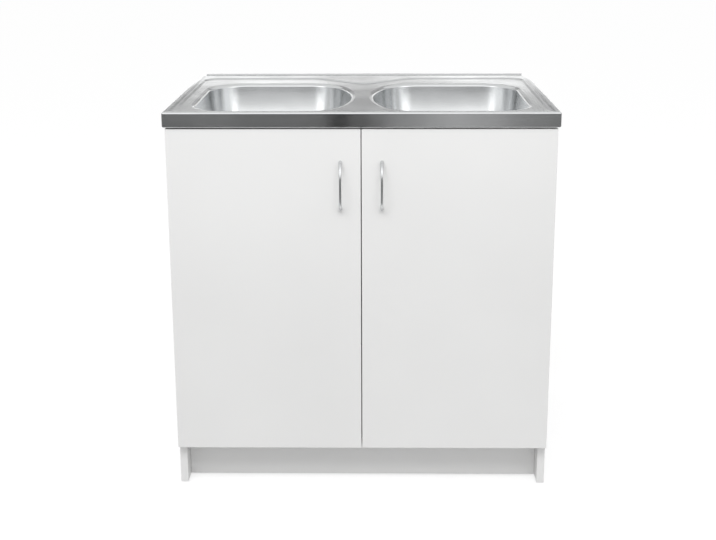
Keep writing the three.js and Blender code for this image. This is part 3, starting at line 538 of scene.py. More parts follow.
class Sheet:
    """Rings of points, the faces between them and where each point lies on the flat blank."""

    def __init__(self):
        self.points, self.blank, self.faces, self.looks = [], [], [], []

    def ring(self, points, blank=None):
        start = len(self.points)
        self.points += [tuple(p) for p in points]
        self.blank += [tuple(p[:2]) for p in (points if blank is None else blank)]
        return list(range(start, len(self.points)))

    def add(self, faces, look):
        self.faces += faces
        self.looks += [look] * len(faces)

    def chain(self, rings, look):
        for low, high in zip(rings, rings[1:]):
            self.add(strip(low, high), look)
        return rings

    def flat(self, loops, look):
        """Fills the level plane inside the first loop of its points and outside the others."""
        numbers = [i for loop in loops for i in loop]
        plan = [[Vector(self.points[i][:2]) for i in loop] for loop in loops]
        edges, start = [], 0
        for loop in loops:
            edges += [(start + j, start + (j + 1) % len(loop)) for j in range(len(loop))]
            start += len(loop)
        found = delaunay_2d_cdt([p for loop in plan for p in loop], edges, [], TRIANGLES_INSIDE, TINY)
        triangles = []
        for corners in found[2]:
            middle = sum((found[0][i] for i in corners), Vector((0, 0))) / 3
            if not any(surrounds(loop, middle) for loop in plan[1:]):
                triangles.append([numbers[found[3][i][0]] for i in corners])
        self.add(triangles, look)


def surrounds(loop, point):
    """Whether a closed loop of points goes round a point, by counting the sides east of it."""
    crossings = 0
    for a, b in zip(loop, loop[1:] + loop[:1]):
        if (a.y > point.y) != (b.y > point.y):
            crossings += point.x < a.x + (point.y - a.y) / (b.y - a.y) * (b.x - a.x)
    return crossings % 2 == 1


def edge_rings(sheet):
    section = np.array(edge_section())
    runs = np.cumsum(np.hypot(*np.diff(section, axis=0).T)[::-1])[::-1].tolist() + [0]
    base = edge_outline(-section[-1][0])
    rings = [
        sheet.ring(level(edge_outline(-distance), 0, height), level(base, run, 0))
        for (distance, height), run in zip(section, runs)
    ]
    return sheet.chain(rings, DECK)


def bowl_rings(sheet, sign):
    """The bowl from its lip to the edge of the drain hole. Returns the lip's outer ring."""
    outline = bowl_outline(sign)
    middle = np.array([sign * BOWL_MIDDLE, DRAIN_Y, 0])
    section = bowl_section()
    rings = [level(outline, distance, height) for distance, height in section]
    lip = sum(height > RECESS_TOP - RIM_DROP - LIP_RADIUS + 1 for _, height in section)
    towards = outline[:, :2] / np.hypot(*outline[:, :2].T)[:, None]
    seat = raised(towards * (STRAINER_RADIUS + STRAINER_FLANGE + SEAT_MARGIN), BOWL_FLOOR)
    foot = rings[-1]
    for t in shares(FLOOR_STEPS)[1:]:
        middle_ring = foot + (seat - foot) * t
        middle_ring[:, 2] = foot[0, 2] - FLOOR_FALL * smooth(t)
        rings.append(middle_ring)
    hole = raised(towards * DRAIN_RADIUS, BOWL_FLOOR)
    rings += [hole, hole - (0, 0, HOLE_DROP)]
    numbers = [sheet.ring(points + middle) for points in rings]
    sheet.chain(numbers[: lip + 1], DECK)
    sheet.chain(numbers[lip:], BOWL)
    return numbers[0]


def make_sink(deck_look, bowl_look):
    sheet = Sheet()
    deck = edge_rings(sheet)[-1]
    recess = recess_outline()
    pan = sheet.chain([sheet.ring(level(recess, d, z)) for d, z in recess_section()], DECK)
    sheet.flat([deck, pan[0]], DECK)
    sheet.flat([pan[-1], *(bowl_rings(sheet, sign) for _, sign in SIDES)], DECK)
    mesh = mesh_of("sink", [(sheet.points, sheet.faces)])
    layer = mesh.uv_layers.new(name="blank")
    for loop in mesh.loops:
        layer.data[loop.index].uv = Vector(sheet.blank[loop.vertex_index]) * MM
    mesh.materials.append(deck_look)
    mesh.polygons.foreach_set("material_index", sheet.looks)
    solids = ("sink_deck", "bowl_left", "bowl_right")
    thickened(linked("sink", mesh, "cabinet", "sink_steel", *solids, look=bowl_look), SHEET, -1)


# ---- Handles ----


def make_handle(side):
    """Bow of oval section that stands off the door and is widest at its feet."""
    node = f"handle_{side}"
    low, high, middle, _ = sized(node)
    base = np.array([middle[0], high[1], middle[2]])
    half_pitch = (high[2] - low[2] - HANDLE_FOOT[1]) / 2
    reach = high[1] - low[1] - HANDLE_MIDDLE[1] / 2
    rings, angles = [], around(BOW_SIDES)
    for turn in shares(BOW_STEPS) * math.pi:
        steps = turn - TURN_STEP, turn, turn + TURN_STEP
        before, spot, after = (bow_point(step, half_pitch, reach) for step in steps)
        along = after - before
        along /= np.linalg.norm(along)
        away = np.array([0, along[2], -along[1]])
        share = math.cos(turn) ** 2
        width, thickness = (a + (b - a) * share for a, b in zip(HANDLE_MIDDLE, HANDLE_FOOT))
        across = np.outer(np.cos(angles) * width / 2, (1, 0, 0))
        rings.append(spot + (across + np.outer(np.sin(angles) * thickness / 2, away)) + base)
    points, faces = skinned(rings)
    faces += [range(BOW_SIDES)[::-1], range(len(points) - BOW_SIDES, len(points))]
    handle = linked(f"bow_{side}", [(points, faces)], f"{side}_door", "satin_metal", node)
    bevelled(handle, width=0.3, angle=50)
    handle.modifiers.move(1, 0)


def bow_point(turn, half_pitch, reach):
    """Centre line of a bow about the middle of its feet, from the upper foot to the lower one."""
    up = math.copysign(abs(math.cos(turn)) ** (2 / BOW_POWER), math.cos(turn))
    out = max(math.sin(turn), 0) ** (2 / BOW_POWER)
    return np.array([0, -reach * out, half_pitch * up])


def bevelled(thing, width, angle=30):
    """Gives a narrow round to the edges that are sharper than an angle."""
    edge = thing.modifiers.new("edge", "BEVEL")
    edge.width = width * MM
    edge.segments = 2
    edge.limit_method = "ANGLE"
    edge.angle_limit = math.radians(angle)


# ---- Small fittings: screws, glides, bumpers and hinges ----


def screw_head(radius, height):
    """Domed head with a cross recess, standing on the height 0."""
    corner = math.atan(SCREW_ARM)
    quarters = around(4)
    angles = np.concatenate([around(SCREW_SIDES) + SCREW_SHIFT, quarters - corner, quarters + corner])
    angles = np.sort(angles % (2 * math.pi))
    folded = (angles + math.pi / 4) % (math.pi / 2) - math.pi / 4
    reach = SCREW_REACH * radius
    cross = np.minimum(reach / np.cos(folded), reach * SCREW_ARM / np.maximum(np.abs(np.sin(folded)), TINY))
    dome = [(r * radius, z * height) for r, z in SCREW_DOME]
    pit = [(cross * r, z * height) for r, z in SCREW_PIT]
    return about_z([(0, 0), (radius, 0), *dome, *pit, (0, PIT_FLOOR * height)], angles)


def backwards(shape, at):
    """A shape made along +z, laid down so that it points to the back."""
    return placed(shape, at, -90)


def make_door_fittings(side):
    door = f"{side}_door"
    for end, _ in ENDS:
        node = f"handle_screw_{side}_{end}"
        low, high, middle, radius = sized(node)
        at = (middle[0], low[1], middle[2])
        length = high[1] - low[1] - SCREW_HEAD
        thread = [(0, 0), (SCREW_RADIUS * THREAD_TIP, 0)]
        for turn in np.arange(THREAD_START, length - THREAD_REST, THREAD_PITCH):
            thread += [(SCREW_RADIUS * THREAD_ROOT, turn), (SCREW_RADIUS, turn + THREAD_PITCH / 2)]
        thread += [(SCREW_RADIUS, length - 2), (SCREW_RADIUS, length), (0, length)]
        head = placed(screw_head(radius, SCREW_HEAD), (0, 0, length))
        shapes = [backwards(shape, at) for shape in (lathed(thread, sides=24, soft=0.1), head)]
        linked(f"screw_{side}_{end}", shapes, door, "plated_steel", node, look=looks["screws"])
    node = f"door_bumper_{side}"
    low, high, middle, radius = sized(node)
    rise = high[1] - low[1]
    pad = lathed([(radius * r, rise * z) for r, z in BUMPER_PROFILE], soft=0.6, sides=32)
    linked(f"bumper_{side}", [backwards(pad, (middle[0], low[1], middle[2]))], door, "grey_plastic", node)


def make_glide(place):
    node = f"glide_{place}"
    _, high, middle, radius = sized(node)
    foot = [(0, 0), (radius * GLIDE_SOLE, 0), (radius, GLIDE_EDGE), (radius, GLIDE_HEIGHT)]
    pin = [(GLIDE_PIN, GLIDE_HEIGHT), (GLIDE_PIN, high[2]), (0, high[2])]
    shape = placed(lathed(foot + pin, sides=40), (middle[0], middle[1], 0))
    linked(f"glide_foot_{place}", [shape], "cabinet", "grey_plastic", node)


def make_hinge(side, sign, end):
    """Cup with its flange and screws on the door; the pin and the screws of arm and plate on the cabinet."""
    name, door = f"{side}_{end}", f"{side}_door"
    low, high, middle, radius = sized(f"hinge_cup_{name}")
    at = (middle[0], low[1], middle[2])
    deep, half_long = high[1] - low[1], (high[2] - low[2]) / 2
    inner, rim = radius - CUP_WALL, deep - CUP_FLANGE
    angles = around(CUP_SIDES)
    across, along = np.abs(np.cos(angles)), np.abs(np.sin(angles))
    wing = np.minimum(half_long / np.maximum(along, TINY), WING_HALF / np.maximum(across, TINY))
    wing = np.minimum(np.maximum(wing, radius), half_long - WING_ROUND * across * (wing > radius + 1))
    profile = [(0, 0), (radius, 0), (radius, rim), (inner, rim), (inner, CUP_FLOOR), (0, CUP_FLOOR)]
    cup = lathed(profile, soft=1.5, sides=CUP_SIDES)
    flange = about_z(ring_profile(inner, wing, rim, deep), angles, closed=True)
    shapes = [backwards(shape, at) for shape in (cup, flange)]
    linked(f"cup_{name}", shapes, door, "plated_steel", f"hinge_cup_{name}")
    screws = [placed(screw_head(*CUP_SCREW), (0, dz * (half_long - CUP_INSET), deep)) for _, dz in ENDS]
    shapes = [backwards(shape, at) for shape in screws]
    linked(f"cup_screws_{name}", shapes, door, "plated_steel", look=looks["screws"])
    low, high, middle, radius = sized(f"hinge_pin_{name}")
    shape = placed(rod(radius, low[2], high[2], 0.3, 24), (middle[0], middle[1], 0))
    linked(f"pin_{name}", [shape], "cabinet", "plated_steel", f"hinge_pin_{name}")
    low, high, plate, _ = sized(f"hinge_plate_{name}")
    face, spread = low[0] if sign > 0 else high[0], (high[2] - low[2]) * PLATE_SPREAD
    spots = [(face, plate[1], plate[2] + dz * spread, PLATE_SCREW) for _, dz in ENDS]
    low, high, _, _ = sized(f"hinge_arm_{name}")
    face = (low[0] if sign > 0 else high[0]) + sign * ARM_STEP
    spots += [(face, high[1] - inset, plate[2], ARM_SCREW) for inset in ARM_INSETS]
    heads = [placed(screw_head(r, SCREW_RISE), (x, y, z), -90 * sign, "Y") for x, y, z, r in spots]
    linked(f"hinge_screws_{name}", heads, "cabinet", "plated_steel", look=looks["screws"])


# ---- Waste fittings: profiles of (radius, height) about the drain or about their own axes ----


def ring_profile(inner, outer, low, high):
    return [(inner, low), (outer, low), (outer, high), (inner, high)]


def ribbed(profile, ribs=RIBS, depth=RIB_DEPTH, soft=0.8, sides=144):
    """Ring with grip ribs on its outside."""
    outer = max(radius for radius, _ in profile)
    return lathed(profile, True, sides, soft, ribs, depth, outer - RIB_BAND)


def nut_shape(thread, hole):
    """Union nut with grip ribs: a thread over the outer piece and a lip over the pipe."""
    hole, thread, top = hole + FIT, thread + FIT, NUT_HEIGHT
    outer = thread + NUT_WALL
    return ribbed([(hole, 0), (outer, 0), (outer, top), (thread, top), (thread, NUT_LIP), (hole, NUT_LIP)])


def cage_shape(low, high):
    """The strainer's basket as one perforated sheet, from its stem out and up to its rim."""
    base, rim, radius = low[2] + CAGE_BASE, high[2] - CAGE_EDGE, (high[0] - low[0]) / 2 - CAGE_EDGE
    foot, lift = CAGE_FOOT
    rows = [(r, base) for r in CAGE_RINGS] + [(foot, base + lift)]
    rows += [(foot + (radius - foot) * t, base + lift + (rim - base - lift) * t) for t in CAGE_WALL]
    points, faces = about_z(rows, around(CAGE_SIDES))
    bars = []
    for i, face in enumerate(faces):
        row, side = divmod(i, CAGE_SIDES)
        if row not in CAGE_SLOTS or side % CAGE_SLOTS[row]:
            bars.append(face)
    return points, bars


def pipework(name, form, node):
    linked(name, form, "cabinet", "white_plastic", node)


def make_side_waste(side, sign):
    at = (sign * BOWL_MIDDLE, DRAIN_Y, 0)
    floor, basket = BOWL_FLOOR, f"{side}_basket"
    node = f"strainer_body_{side}"
    low, high, _, flange = sized(node)
    top, bottom = high[2], low[2]
    body = [
        (PIPE_BORE, bottom), (PIPE_RADIUS, bottom), (PIPE_RADIUS, floor - 50), (STRAINER_RADIUS, floor - 46),
        (STRAINER_RADIUS, floor + FIT), (flange, floor + FIT), (flange - 0.6, floor + 1), (flange - 2.5, top),
        (STRAINER_RADIUS + 2, top), (STRAINER_RADIUS + 0.4, top - 0.8), (STRAINER_SHELL, floor - 1.7),
        (STRAINER_SHELL, floor - 44), (PIPE_BORE, floor - 48),
    ]
    linked(f"drain_{side}", [placed(lathed(body, True, 96, 0.9), at)], "cabinet", "strainer_steel", node)

    node = f"strainer_basket_{side}"
    low, high, _, _ = sized(node)
    cage = linked(f"cage_{side}", [placed(cage_shape(low, high), at)], basket, "strainer_steel", node)
    thickened(cage, CAGE_SHEET, 0)
    base, stem = low[2] + PLUG_HEIGHT, high[2] - KNOB_HEIGHT
    knob = [(0, base), (4, base), (4, stem), (9, stem), (9, stem + 2.5), (7.2, high[2]), (0, high[2])]
    plug = [(0, low[2]), (17.5, low[2]), (19, low[2] + 1.6), (19, base), (0, base)]
    linked(f"knob_{side}", [placed(lathed(knob, soft=1.0), at)], basket, "strainer_steel")
    linked(f"stopper_{side}", [placed(lathed(plug, soft=0.8), at)], basket, "rubber")

    for part, slot, ribs in (("washer", "rubber", 0), ("nut", "white_plastic", 24)):
        node = f"strainer_{part}_{side}"
        low, high, _, outer = sized(node)
        profile = ring_profile(STRAINER_RADIUS + FIT, outer, low[2], high[2])
        shape = ribbed(profile, ribs, 1.2, 0.7, WASHER_SIDES)
        linked(f"drain_{part}_{side}", [placed(shape, at)], "cabinet", slot, node)
    node = f"coupling_nut_{side}"
    low, high, _, outer = sized(node)
    shape = ribbed(ring_profile(PIPE_SOCKET, outer, low[2], high[2]), depth=0.6)
    pipework(f"coupling_{side}", [placed(shape, at)], node)

    node = f"waste_elbow_{side}"
    low, high, _, _ = sized(node)
    axis, top, turn = low[2] + PIPE_RADIUS, high[2], sign * (BOWL_MIDDLE - ELBOW_RADIUS)
    end = low[0] if sign > 0 else high[0]
    bend = [
        (turn + sign * ELBOW_RADIUS * math.cos(a), axis + ELBOW_RADIUS * (1 - math.sin(a)))
        for a in np.radians(shares(ELBOW_STEPS) * 90)
    ]
    line = [(at[0], top), (at[0], top - 1), *bend, (end + sign, axis), (end, axis)]
    pipework(f"elbow_{side}", [tube([(x, DRAIN_Y, z) for x, z in line], PIPE_RADIUS, PIPE_BORE)], node)
    node = f"tee_nut_{side}"
    low, high, middle, _ = sized(node)
    outside = high[0] if sign > 0 else low[0]
    nut = placed(nut_shape(NECK_RADIUS, PIPE_RADIUS), (outside, DRAIN_Y, middle[2]), -90 * sign, "Y")
    pipework(f"side_nut_{side}", [nut], node)


def carved(name, solids, cuts):
    """Mesh of solids joined and then cut by others, with fine facets."""
    things = [in_scene(name, mesh_of(name, [shape])) for shape in solids + cuts]
    for i, thing in enumerate(things[1:], 1):
        change = things[0].modifiers.new("change", "BOOLEAN")
        change.object = thing
        change.solver = "EXACT"
        change.operation = "UNION" if i < len(solids) else "DIFFERENCE"
    evaluated = things[0].evaluated_get(bpy.context.evaluated_depsgraph_get())
    mesh = bpy.data.meshes.new_from_object(evaluated)
    for thing in things:
        bpy.data.meshes.remove(thing.data)
    return mesh


def make_tee():
    low, high, _, _ = sized("waste_tee")
    half, axis = high[0], high[2] - NECK_RADIUS
    drop, past = axis - low[2], half + CUT_PAST
    at = (0, DRAIN_Y, axis)

    def across(radius, start, end, soft=0):
        return placed(rod(radius, start, end, soft, PIPE_SIDES), at, 90, "Y")

    def down(radius, end, soft=0):
        return placed(rod(radius, -end, 0, soft, PIPE_SIDES), at)

    solids = [across(NECK_RADIUS, -half, half, NECK_SOFT), down(NECK_RADIUS, drop, NECK_SOFT)]
    sockets = [across(PIPE_SOCKET, TEE_SOCKET, past), across(PIPE_SOCKET, -past, -TEE_SOCKET)]
    cuts = [across(PIPE_BORE, -past, past), *sockets, down(PIPE_BORE, drop + CUT_PAST)]
    pipework("tee", carved("tee", solids, cuts), "waste_tee")


def make_trap():
    """Bottle with its dip tube and ring nut, and the outlet behind it."""
    low, high, _, radius = sized("trap_bottle")
    at, height = (0, DRAIN_Y, high[2]), high[2] - low[2]
    shoulder, inner = -BOTTLE_NECK - (radius - NECK_RADIUS), radius - BOTTLE_WALL
    neck_bore, floor = NECK_RADIUS - BOTTLE_WALL, BOTTLE_WALL - height
    outside = [
        (0, -height), (28, -height), (radius - 1, 9 - height), (radius, 13 - height), (radius, 20 - height),
        (radius - 0.8, 21 - height), (radius - 0.8, 24 - height), (radius, 25 - height), (radius, shoulder),
        (NECK_RADIUS, -BOTTLE_NECK), (NECK_RADIUS, 0), (0, 0),
    ]
    inside = [
        (0, floor), (27, floor), (inner - 0.8, 13 - height), (inner - 0.8, shoulder - 1),
        (neck_bore, -BOTTLE_NECK), (neck_bore, CUT_PAST), (0, CUT_PAST),
    ]
    outlet = sized("outlet_pipe")[2][2]
    stub = high[1] - DRAIN_Y
    pipes = [
        (NECK_RADIUS, 0, stub, NECK_SOFT),
        (PIPE_BORE, 0, stub + CUT_PAST, 0),
        (PIPE_SOCKET, stub - OUTLET_SOCKET, stub + CUT_PAST, 0),
    ]
    pipe, *bores = [backwards(rod(*sizes, PIPE_SIDES), (0, DRAIN_Y, outlet)) for sizes in pipes]
    solids = [placed(lathed(outside, soft=3.0), at), pipe]
    cuts = [placed(lathed(inside, soft=3.0), at), *bores]
    pipework("bottle", carved("bottle", solids, cuts), "trap_bottle")

    at = (0, DRAIN_Y, 0)
    low, high, _, _ = sized("trap_dip_tube")
    bottom, top, collar = low[2], high[2], high[2] - COLLAR
    dip, bore, wide = DIP_RADIUS, DIP_RADIUS - PIPE_WALL, NECK_RADIUS
    profile = [(bore, bottom), (dip, bottom), (dip, collar), (wide, collar), (wide, top), (bore, top)]
    pipework("dip_tube", [placed(lathed(profile, True), at)], "trap_dip_tube")
    low, high, _, outer = sized("trap_ring_nut")
    bottom, top, bore = low[2], high[2], NECK_RADIUS + FIT
    profile = [(bore, bottom), (outer, bottom), (outer, top - COLLAR), (outer - COLLAR, top), (bore, top)]
    pipework("ring_nut", [placed(ribbed(profile), at)], "trap_ring_nut")

    at = (0, sized("outlet_nut")[1][1], outlet)
    pipework("back_nut", [placed(nut_shape(NECK_RADIUS, PIPE_RADIUS), at, 90)], "outlet_nut")
    low, high, _, _ = sized("outlet_pipe")
    shape = lathed(ring_profile(PIPE_BORE, PIPE_RADIUS, low[1], high[1]), True, soft=0.4)
    pipework("back_pipe", [backwards(shape, (0, 0, outlet))], "outlet_pipe")


# ---- Materials ----


class Look:
    """A procedural material. Its nodes are added one by one."""

    def __init__(self, name, color, roughness, metallic=0.0):
        self.material = bpy.data.materials.new(name)
        self.material.use_nodes = True
        tree = self.material.node_tree
        self.nodes, self.links = tree.nodes, tree.links
        self.shader = tree.nodes["Principled BSDF"]
        self.set(self.shader, {"Base Color": (*color, 1), "Roughness": roughness, "Metallic": metallic})

    def set(self, node, values):
        for key, value in values.items():
            if isinstance(value, bpy.types.NodeSocket):
                self.links.new(value, node.inputs[key])
            else:
                node.inputs[key].default_value = value

    def node(self, kind, values=None, **settings):
        node = self.nodes.new("ShaderNode" + kind)
        for key, value in settings.items():
            setattr(node, key, value)
        self.set(node, values or {})
        return node

    def part(self, source, axis):
        """One axis of the object's coordinates or of its normals."""
        return self.node("SeparateXYZ", {0: self.node("TexCoord").outputs[source]}).outputs["XYZ".index(axis)]

    def noise(self, scale, stretch=(1, 1, 1), detail=2.0, uv=False):
        """Noise over the object's coordinates in metres, or over the sheet's blank."""
        source = self.node("UVMap", uv_map="blank") if uv else self.node("TexCoord")
        place = self.node("Mapping", {"Vector": source.outputs["UV" if uv else "Object"], "Scale": stretch})
        values = {"Vector": place.outputs[0], "Scale": scale, "Detail": detail}
        return self.node("TexNoise", values).outputs["Fac"]

    def math(self, operation, a, b):
        return self.node("Math", {0: a, 1: b}, operation=operation).outputs[0]

    def blend(self, fine, coarse):
        """Two noises, the finer one a little stronger."""
        return self.math("ADD", self.math("MULTIPLY", fine, 0.6), self.math("MULTIPLY", coarse, 0.4))

    def ranged(self, value, low, high, start=0.0, end=1.0):
        values = {"Value": value, "From Min": start, "From Max": end, "To Min": low, "To Max": high}
        return self.node("MapRange", values).outputs[0]

    def spread(self, noise, low, high, margin=0.3):
        """A range over the values that a noise mostly takes."""
        return self.ranged(noise, low, high, margin, 1 - margin)

    def mixed(self, share, a, b):
        """Colour between two others."""
        a, b = (color if isinstance(color, bpy.types.NodeSocket) else (*color, 1) for color in (a, b))
        return self.node("Mix", {0: share, 6: a, 7: b}, data_type="RGBA").outputs[2]

    def tinted(self, noise, color, dark, light, margin=0.3):
        """A colour that a noise varies between two of its shades."""
        shades = [[min(1, c * shade) for c in color] for shade in (dark, light)]
        return self.mixed(self.spread(noise, 0, 1, margin), *shades)

    def bump(self, height, strength, distance, **under):
        values = {"Height": height, "Strength": strength, "Distance": distance, **under}
        return self.node("Bump", values).outputs[0]

    def wear(self, **values):
        self.set(self.shader, {key.replace("_", " "): value for key, value in values.items()})
        return self.material


def deck_steel():
    """Stainless sheet brushed along the front, a little uneven from pressing."""
    look = Look("deck_steel", STEEL, 0.28, 1.0)
    fine = look.noise(1, (40, 9000, 1), uv=True)
    coarse = look.noise(1, (9, 1300, 1), uv=True)
    cloud = look.noise(9, detail=1.0)
    streak = look.blend(fine, coarse)
    tint = look.tinted(streak, STEEL, 0.93, 1.05, 0.35)
    rough = look.math("ADD", look.spread(streak, -0.03, 0.03), look.spread(cloud, 0.14, 0.18))
    normal = look.bump(look.noise(7, detail=1.0), 1.0, 0.0016)
    normal = look.bump(streak, 0.35, 0.00002, Normal=normal)
    look.set(look.shader, {"Anisotropic": 0.9, "Anisotropic Rotation": 0.25})
    tangent = look.node("Tangent", direction_type="UV_MAP", uv_map="blank").outputs[0]
    return look.wear(Base_Color=tint, Roughness=rough, Normal=normal, Tangent=tangent)


def bowl_steel():
    """Stainless sheet with the soft satin of a drawn bowl."""
    look = Look("bowl_steel", STEEL, 0.2, 1.0)
    grain = look.noise(2600, detail=3.0)
    cloud = look.noise(14, detail=2.0)
    tint = look.tinted(cloud, STEEL, 0.97, 1.04)
    rough = look.math("ADD", look.spread(grain, -0.03, 0.03), look.spread(cloud, 0.2, 0.24))
    normal = look.bump(look.noise(9, detail=1.0), 1.0, 0.0012)
    normal = look.bump(grain, 0.2, 0.00001, Normal=normal)
    return look.wear(Base_Color=tint, Roughness=rough, Normal=normal)


def melamine(name, bare_back=False):
    """White facing paper under resin with a faint pearl structure. Sawn edges at the back may be bare."""
    look = Look(name, WHITE, 0.42)
    pearl = look.noise(900, detail=3.0)
    drift = look.noise(3.0, detail=2.0)
    tint = look.tinted(drift, WHITE, 0.985, 1.01, 0.35)
    rough = look.spread(pearl, 0.36, 0.48)
    normal = look.bump(pearl, 0.12, 0.00004)
    if bare_back:
        bare = look.ranged(look.part("Normal", "Y"), 0, 1, *BARE_FACING)
        chip = look.noise(420, (1, 1, 0.5), detail=3.0)
        wood = look.mixed(look.spread(chip, 0, 1, 0.38), CHIP_DARK, CHIP_LIGHT)
        tint = look.mixed(bare, tint, wood)
        rough = look.math("MAXIMUM", rough, look.math("MULTIPLY", bare, 0.85))
        normal = look.bump(look.math("MULTIPLY", chip, bare), 0.6, 0.0004, Normal=normal)
    return look.wear(Base_Color=tint, Roughness=rough, Normal=normal)


def hardboard():
    """Thin fibre board: brown behind, white paint inside."""
    look = Look("hardboard", FIBRE_LIGHT, 0.7)
    middle = sized("back_panel")[2][1]
    behind = look.ranged(look.part("Object", "Y"), 0, 1, (middle - 0.1) * MM, (middle + 0.1) * MM)
    fibre = look.noise(520, (1, 1, 0.35), detail=4.0)
    mat = look.blend(fibre, look.noise(11, detail=3.0))
    brown = look.mixed(look.spread(mat, 0, 1, 0.36), FIBRE_DARK, FIBRE_LIGHT)
    rough = look.math("ADD", look.ranged(behind, 0.42, 0.72), look.spread(fibre, -0.06, 0.06))
    normal = look.bump(look.math("MULTIPLY", fibre, look.ranged(behind, 0.2, 1)), 0.4, 0.0002)
    return look.wear(Base_Color=look.mixed(behind, WHITE, brown), Roughness=rough, Normal=normal)


def plain(name, color, roughness, metallic=0.0, grain=1500, depth=0.00003):
    """Cast or moulded surface with a fine grain and a slow drift of tone."""
    look = Look(name, color, roughness, metallic)
    fine = look.noise(grain, detail=2.0)
    drift = look.noise(25, detail=2.0)
    tint = look.tinted(drift, color, 0.95, 1.03)
    slow = look.ranged(drift, roughness - 0.03, roughness + 0.03)
    rough = look.math("ADD", look.spread(fine, -0.04, 0.04), slow)
    return look.wear(Base_Color=tint, Roughness=rough, Normal=look.bump(fine, 0.25, depth))


# ---- Kept solids ----


def dressed(node, look, bevel=0.5):
    """Gives a solid its finish and breaks its sharp edges."""
    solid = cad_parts[node]
    for place in solid.material_slots:
        place.material = look
    weld = solid.modifiers.new("weld", "WELD")
    weld.merge_threshold = 0.01 * MM
    flat = solid.modifiers.new("flat", "DECIMATE")
    flat.decimate_type = "DISSOLVE"
    flat.angle_limit = math.radians(0.5)
    bevelled(solid, bevel)
    solid.data.shade_smooth()
    solid.modifiers.new("normals", "WEIGHTED_NORMAL")


# ---- Studio ----


def stage_piece(name, corners):
    """Flat piece of the studio, and its look."""
    mesh = bpy.data.meshes.new(name)
    mesh.from_pydata(corners, [], [range(len(corners))])
    thing = in_scene(name, mesh)
    look = Look(name, (0.9, 0.9, 0.9), 0.9)
    mesh.materials.append(look.material)
    return thing, look


def seen(nodes, links):
    """1 for rays from the camera and for those that metal and glass send on."""
    path = nodes.new("ShaderNodeLightPath")
    total, *rays = (path.outputs[f"Is {kind} Ray"] for kind in ("Camera", "Glossy", "Transmission"))
    for ray in rays:
        add = nodes.new("ShaderNodeMath")
        add.operation, add.use_clamp = "ADD", True
        links.new(total, add.inputs[0])
        links.new(ray, add.inputs[1])
        total = add.outputs[0]
    return total


def make_floor():
    """Pale floor. Part of its tone is even, so that the shadow on it stays soft."""
    corners = [(x * FLOOR_REACH, y * FLOOR_REACH, 0) for x, y in ((-1, -1), (1, -1), (1, 1), (-1, 1))]
    _, look = stage_piece("floor", corners)
    speck = look.noise(60, detail=3.0)
    tint = look.mixed(look.spread(speck, 0, 1), [FLOOR_TONE - 0.01] * 3, [FLOOR_TONE] * 3)
    look.wear(Base_Color=tint, Specular_IOR_Level=0.0)
    strength = look.math("MULTIPLY", seen(look.nodes, look.links), FLOOR_GLOW)
    glow = look.node("Emission", {"Color": (1, 1, 1, 1), "Strength": strength})
    both = look.node("AddShader", {0: look.shader.outputs[0], 1: glow.outputs[0]})
    look.links.new(both.outputs[0], look.nodes["Material Output"].inputs[0])


def make_card(name, start, end, rise, tones):
    """Card that only shows in reflections. Its grey changes from -CARD_REACH to CARD_REACH."""
    start, end, rise = Vector(start), Vector(end), Vector(rise)
    thing, look = stage_piece(name, [start, end, end + rise, start + rise])
    across = look.ranged(look.part("Object", "X"), 0, 1, -CARD_REACH, CARD_REACH)
    ramp = look.node("ValToRGB", {0: across})
    stops = ramp.color_ramp.elements
    stops[0].color, stops[1].color = ((tone, tone, tone, 1) for _, tone in (tones[0], tones[-1]))
    for place, tone in tones[1:-1]:
        stops.new((place + CARD_REACH) / (2 * CARD_REACH)).color = (tone, tone, tone, 1)
    glow = look.node("Emission", {"Color": ramp.outputs[0], "Strength": 1.0})
    look.links.new(glow.outputs[0], look.nodes["Material Output"].inputs[0])
    for rays in ("camera", "diffuse", "transmission", "volume_scatter", "shadow"):
        setattr(thing, f"visible_{rays}", False)


def make_world():
    """Even light. The camera and reflections see plain white instead."""
    world = bpy.data.worlds.new("studio")
    bpy.context.scene.world = world
    world.use_nodes = True
    nodes, links = world.node_tree.nodes, world.node_tree.links
    light, white = nodes["Background"], nodes.new("ShaderNodeBackground")
    mix = nodes.new("ShaderNodeMixShader")
    for background, strength in ((light, WORLD_LIGHT), (white, 1.0)):
        background.inputs[0].default_value = (1, 1, 1, 1)
        background.inputs[1].default_value = strength
    for index, socket in enumerate((seen(nodes, links), light.outputs[0], white.outputs[0])):
        links.new(socket, mix.inputs[index])
    links.new(mix.outputs[0], nodes["World Output"].inputs[0])


def make_lamp():
    data = bpy.data.lights.new("key", "AREA")
    data.shape = "RECTANGLE"
    data.size, data.size_y = LAMP_SIZE
    data.energy = LAMP_POWER
    light = in_scene("key", data)
    light.location = LAMP_PLACE
    light.rotation_euler = (Vector(LAMP_AIM) - Vector(LAMP_PLACE)).to_track_quat("-Z", "Y").to_euler()
    light.visible_glossy = False  # the cards stand for it in reflections


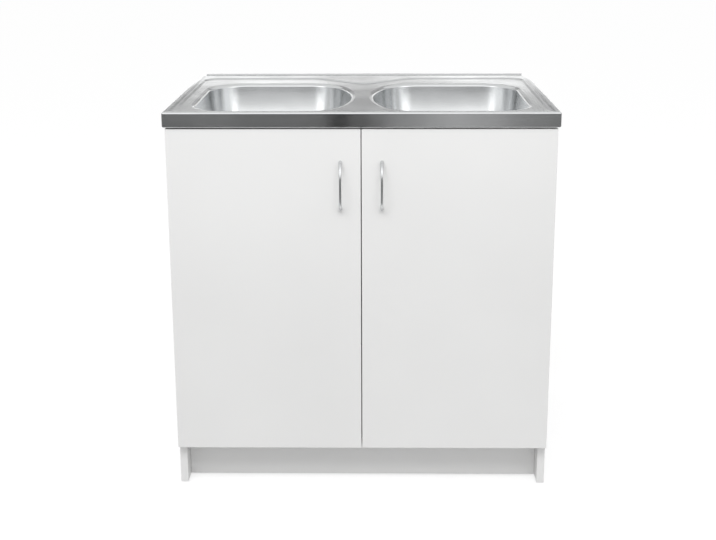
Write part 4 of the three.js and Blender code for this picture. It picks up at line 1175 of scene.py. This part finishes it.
def make_camera():
    data = bpy.data.cameras.new("camera")
    data.sensor_width = CAMERA_SENSOR
    data.lens = CAMERA_FOCAL / IMAGE_WIDTH * CAMERA_SENSOR
    data.shift_y = CAMERA_SHIFT
    data.clip_end = CAMERA_REACH
    camera = in_scene("camera", data)
    bpy.context.scene.camera = camera
    yaw, pitch, roll = CAMERA_ANGLES
    place = Matrix.Translation(CAMERA_PLACE)
    for degrees, axis in ((-yaw, "Z"), (90 - pitch, "X"), (roll, "Z")):
        place = place @ Matrix.Rotation(math.radians(degrees), 4, axis)
    camera.matrix_world = place


# ---- The scene ----
looks = {
    "boards": melamine("melamine"),
    "sawn_boards": melamine("sawn_melamine", bare_back=True),
    "plated_steel": plain("plated_steel", (0.72, 0.71, 0.69), 0.22, 1.0, 700, 0.000005),
    "screws": plain("screw_steel", (0.66, 0.65, 0.63), 0.3, 1.0, 900, 0.000005),
    "satin_metal": plain("satin_metal", (0.62, 0.63, 0.64), 0.22, 1.0, 2500, 0.000004),
    "strainer_steel": plain("polished_steel", (0.68, 0.69, 0.69), 0.14, 1.0, 1800, 0.000004),
    "grey_plastic": plain("grey_plastic", (0.33, 0.34, 0.35), 0.5),
    "white_plastic": plain("white_plastic", (0.86, 0.86, 0.85), 0.35),
    "rubber": plain("rubber", (0.03, 0.03, 0.035), 0.6),
}
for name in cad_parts:
    if name.startswith(("side_panel", "bottom")):
        dressed(name, looks["sawn_boards"])
    if name.startswith(("kick", "door_left", "door_right", "front_top", "back_top")):
        dressed(name, looks["boards"])
    if name.startswith(("hinge_arm", "hinge_plate")):
        dressed(name, looks["plated_steel"], 0.3)
dressed("back_panel", hardboard())
make_sink(deck_steel(), bowl_steel())
for side, sign in SIDES:
    make_handle(side)
    make_door_fittings(side)
    make_side_waste(side, sign)
    for end, _ in ENDS:
        make_hinge(side, sign, end)
    for depth in ("front", "back"):
        make_glide(f"{depth}_{side}")
make_tee()
make_trap()

make_floor()
for name, settings in CARDS.items():
    make_card(name, *settings)
make_world()
make_lamp()
make_camera()
bpy.context.scene.view_settings.view_transform = "Standard"
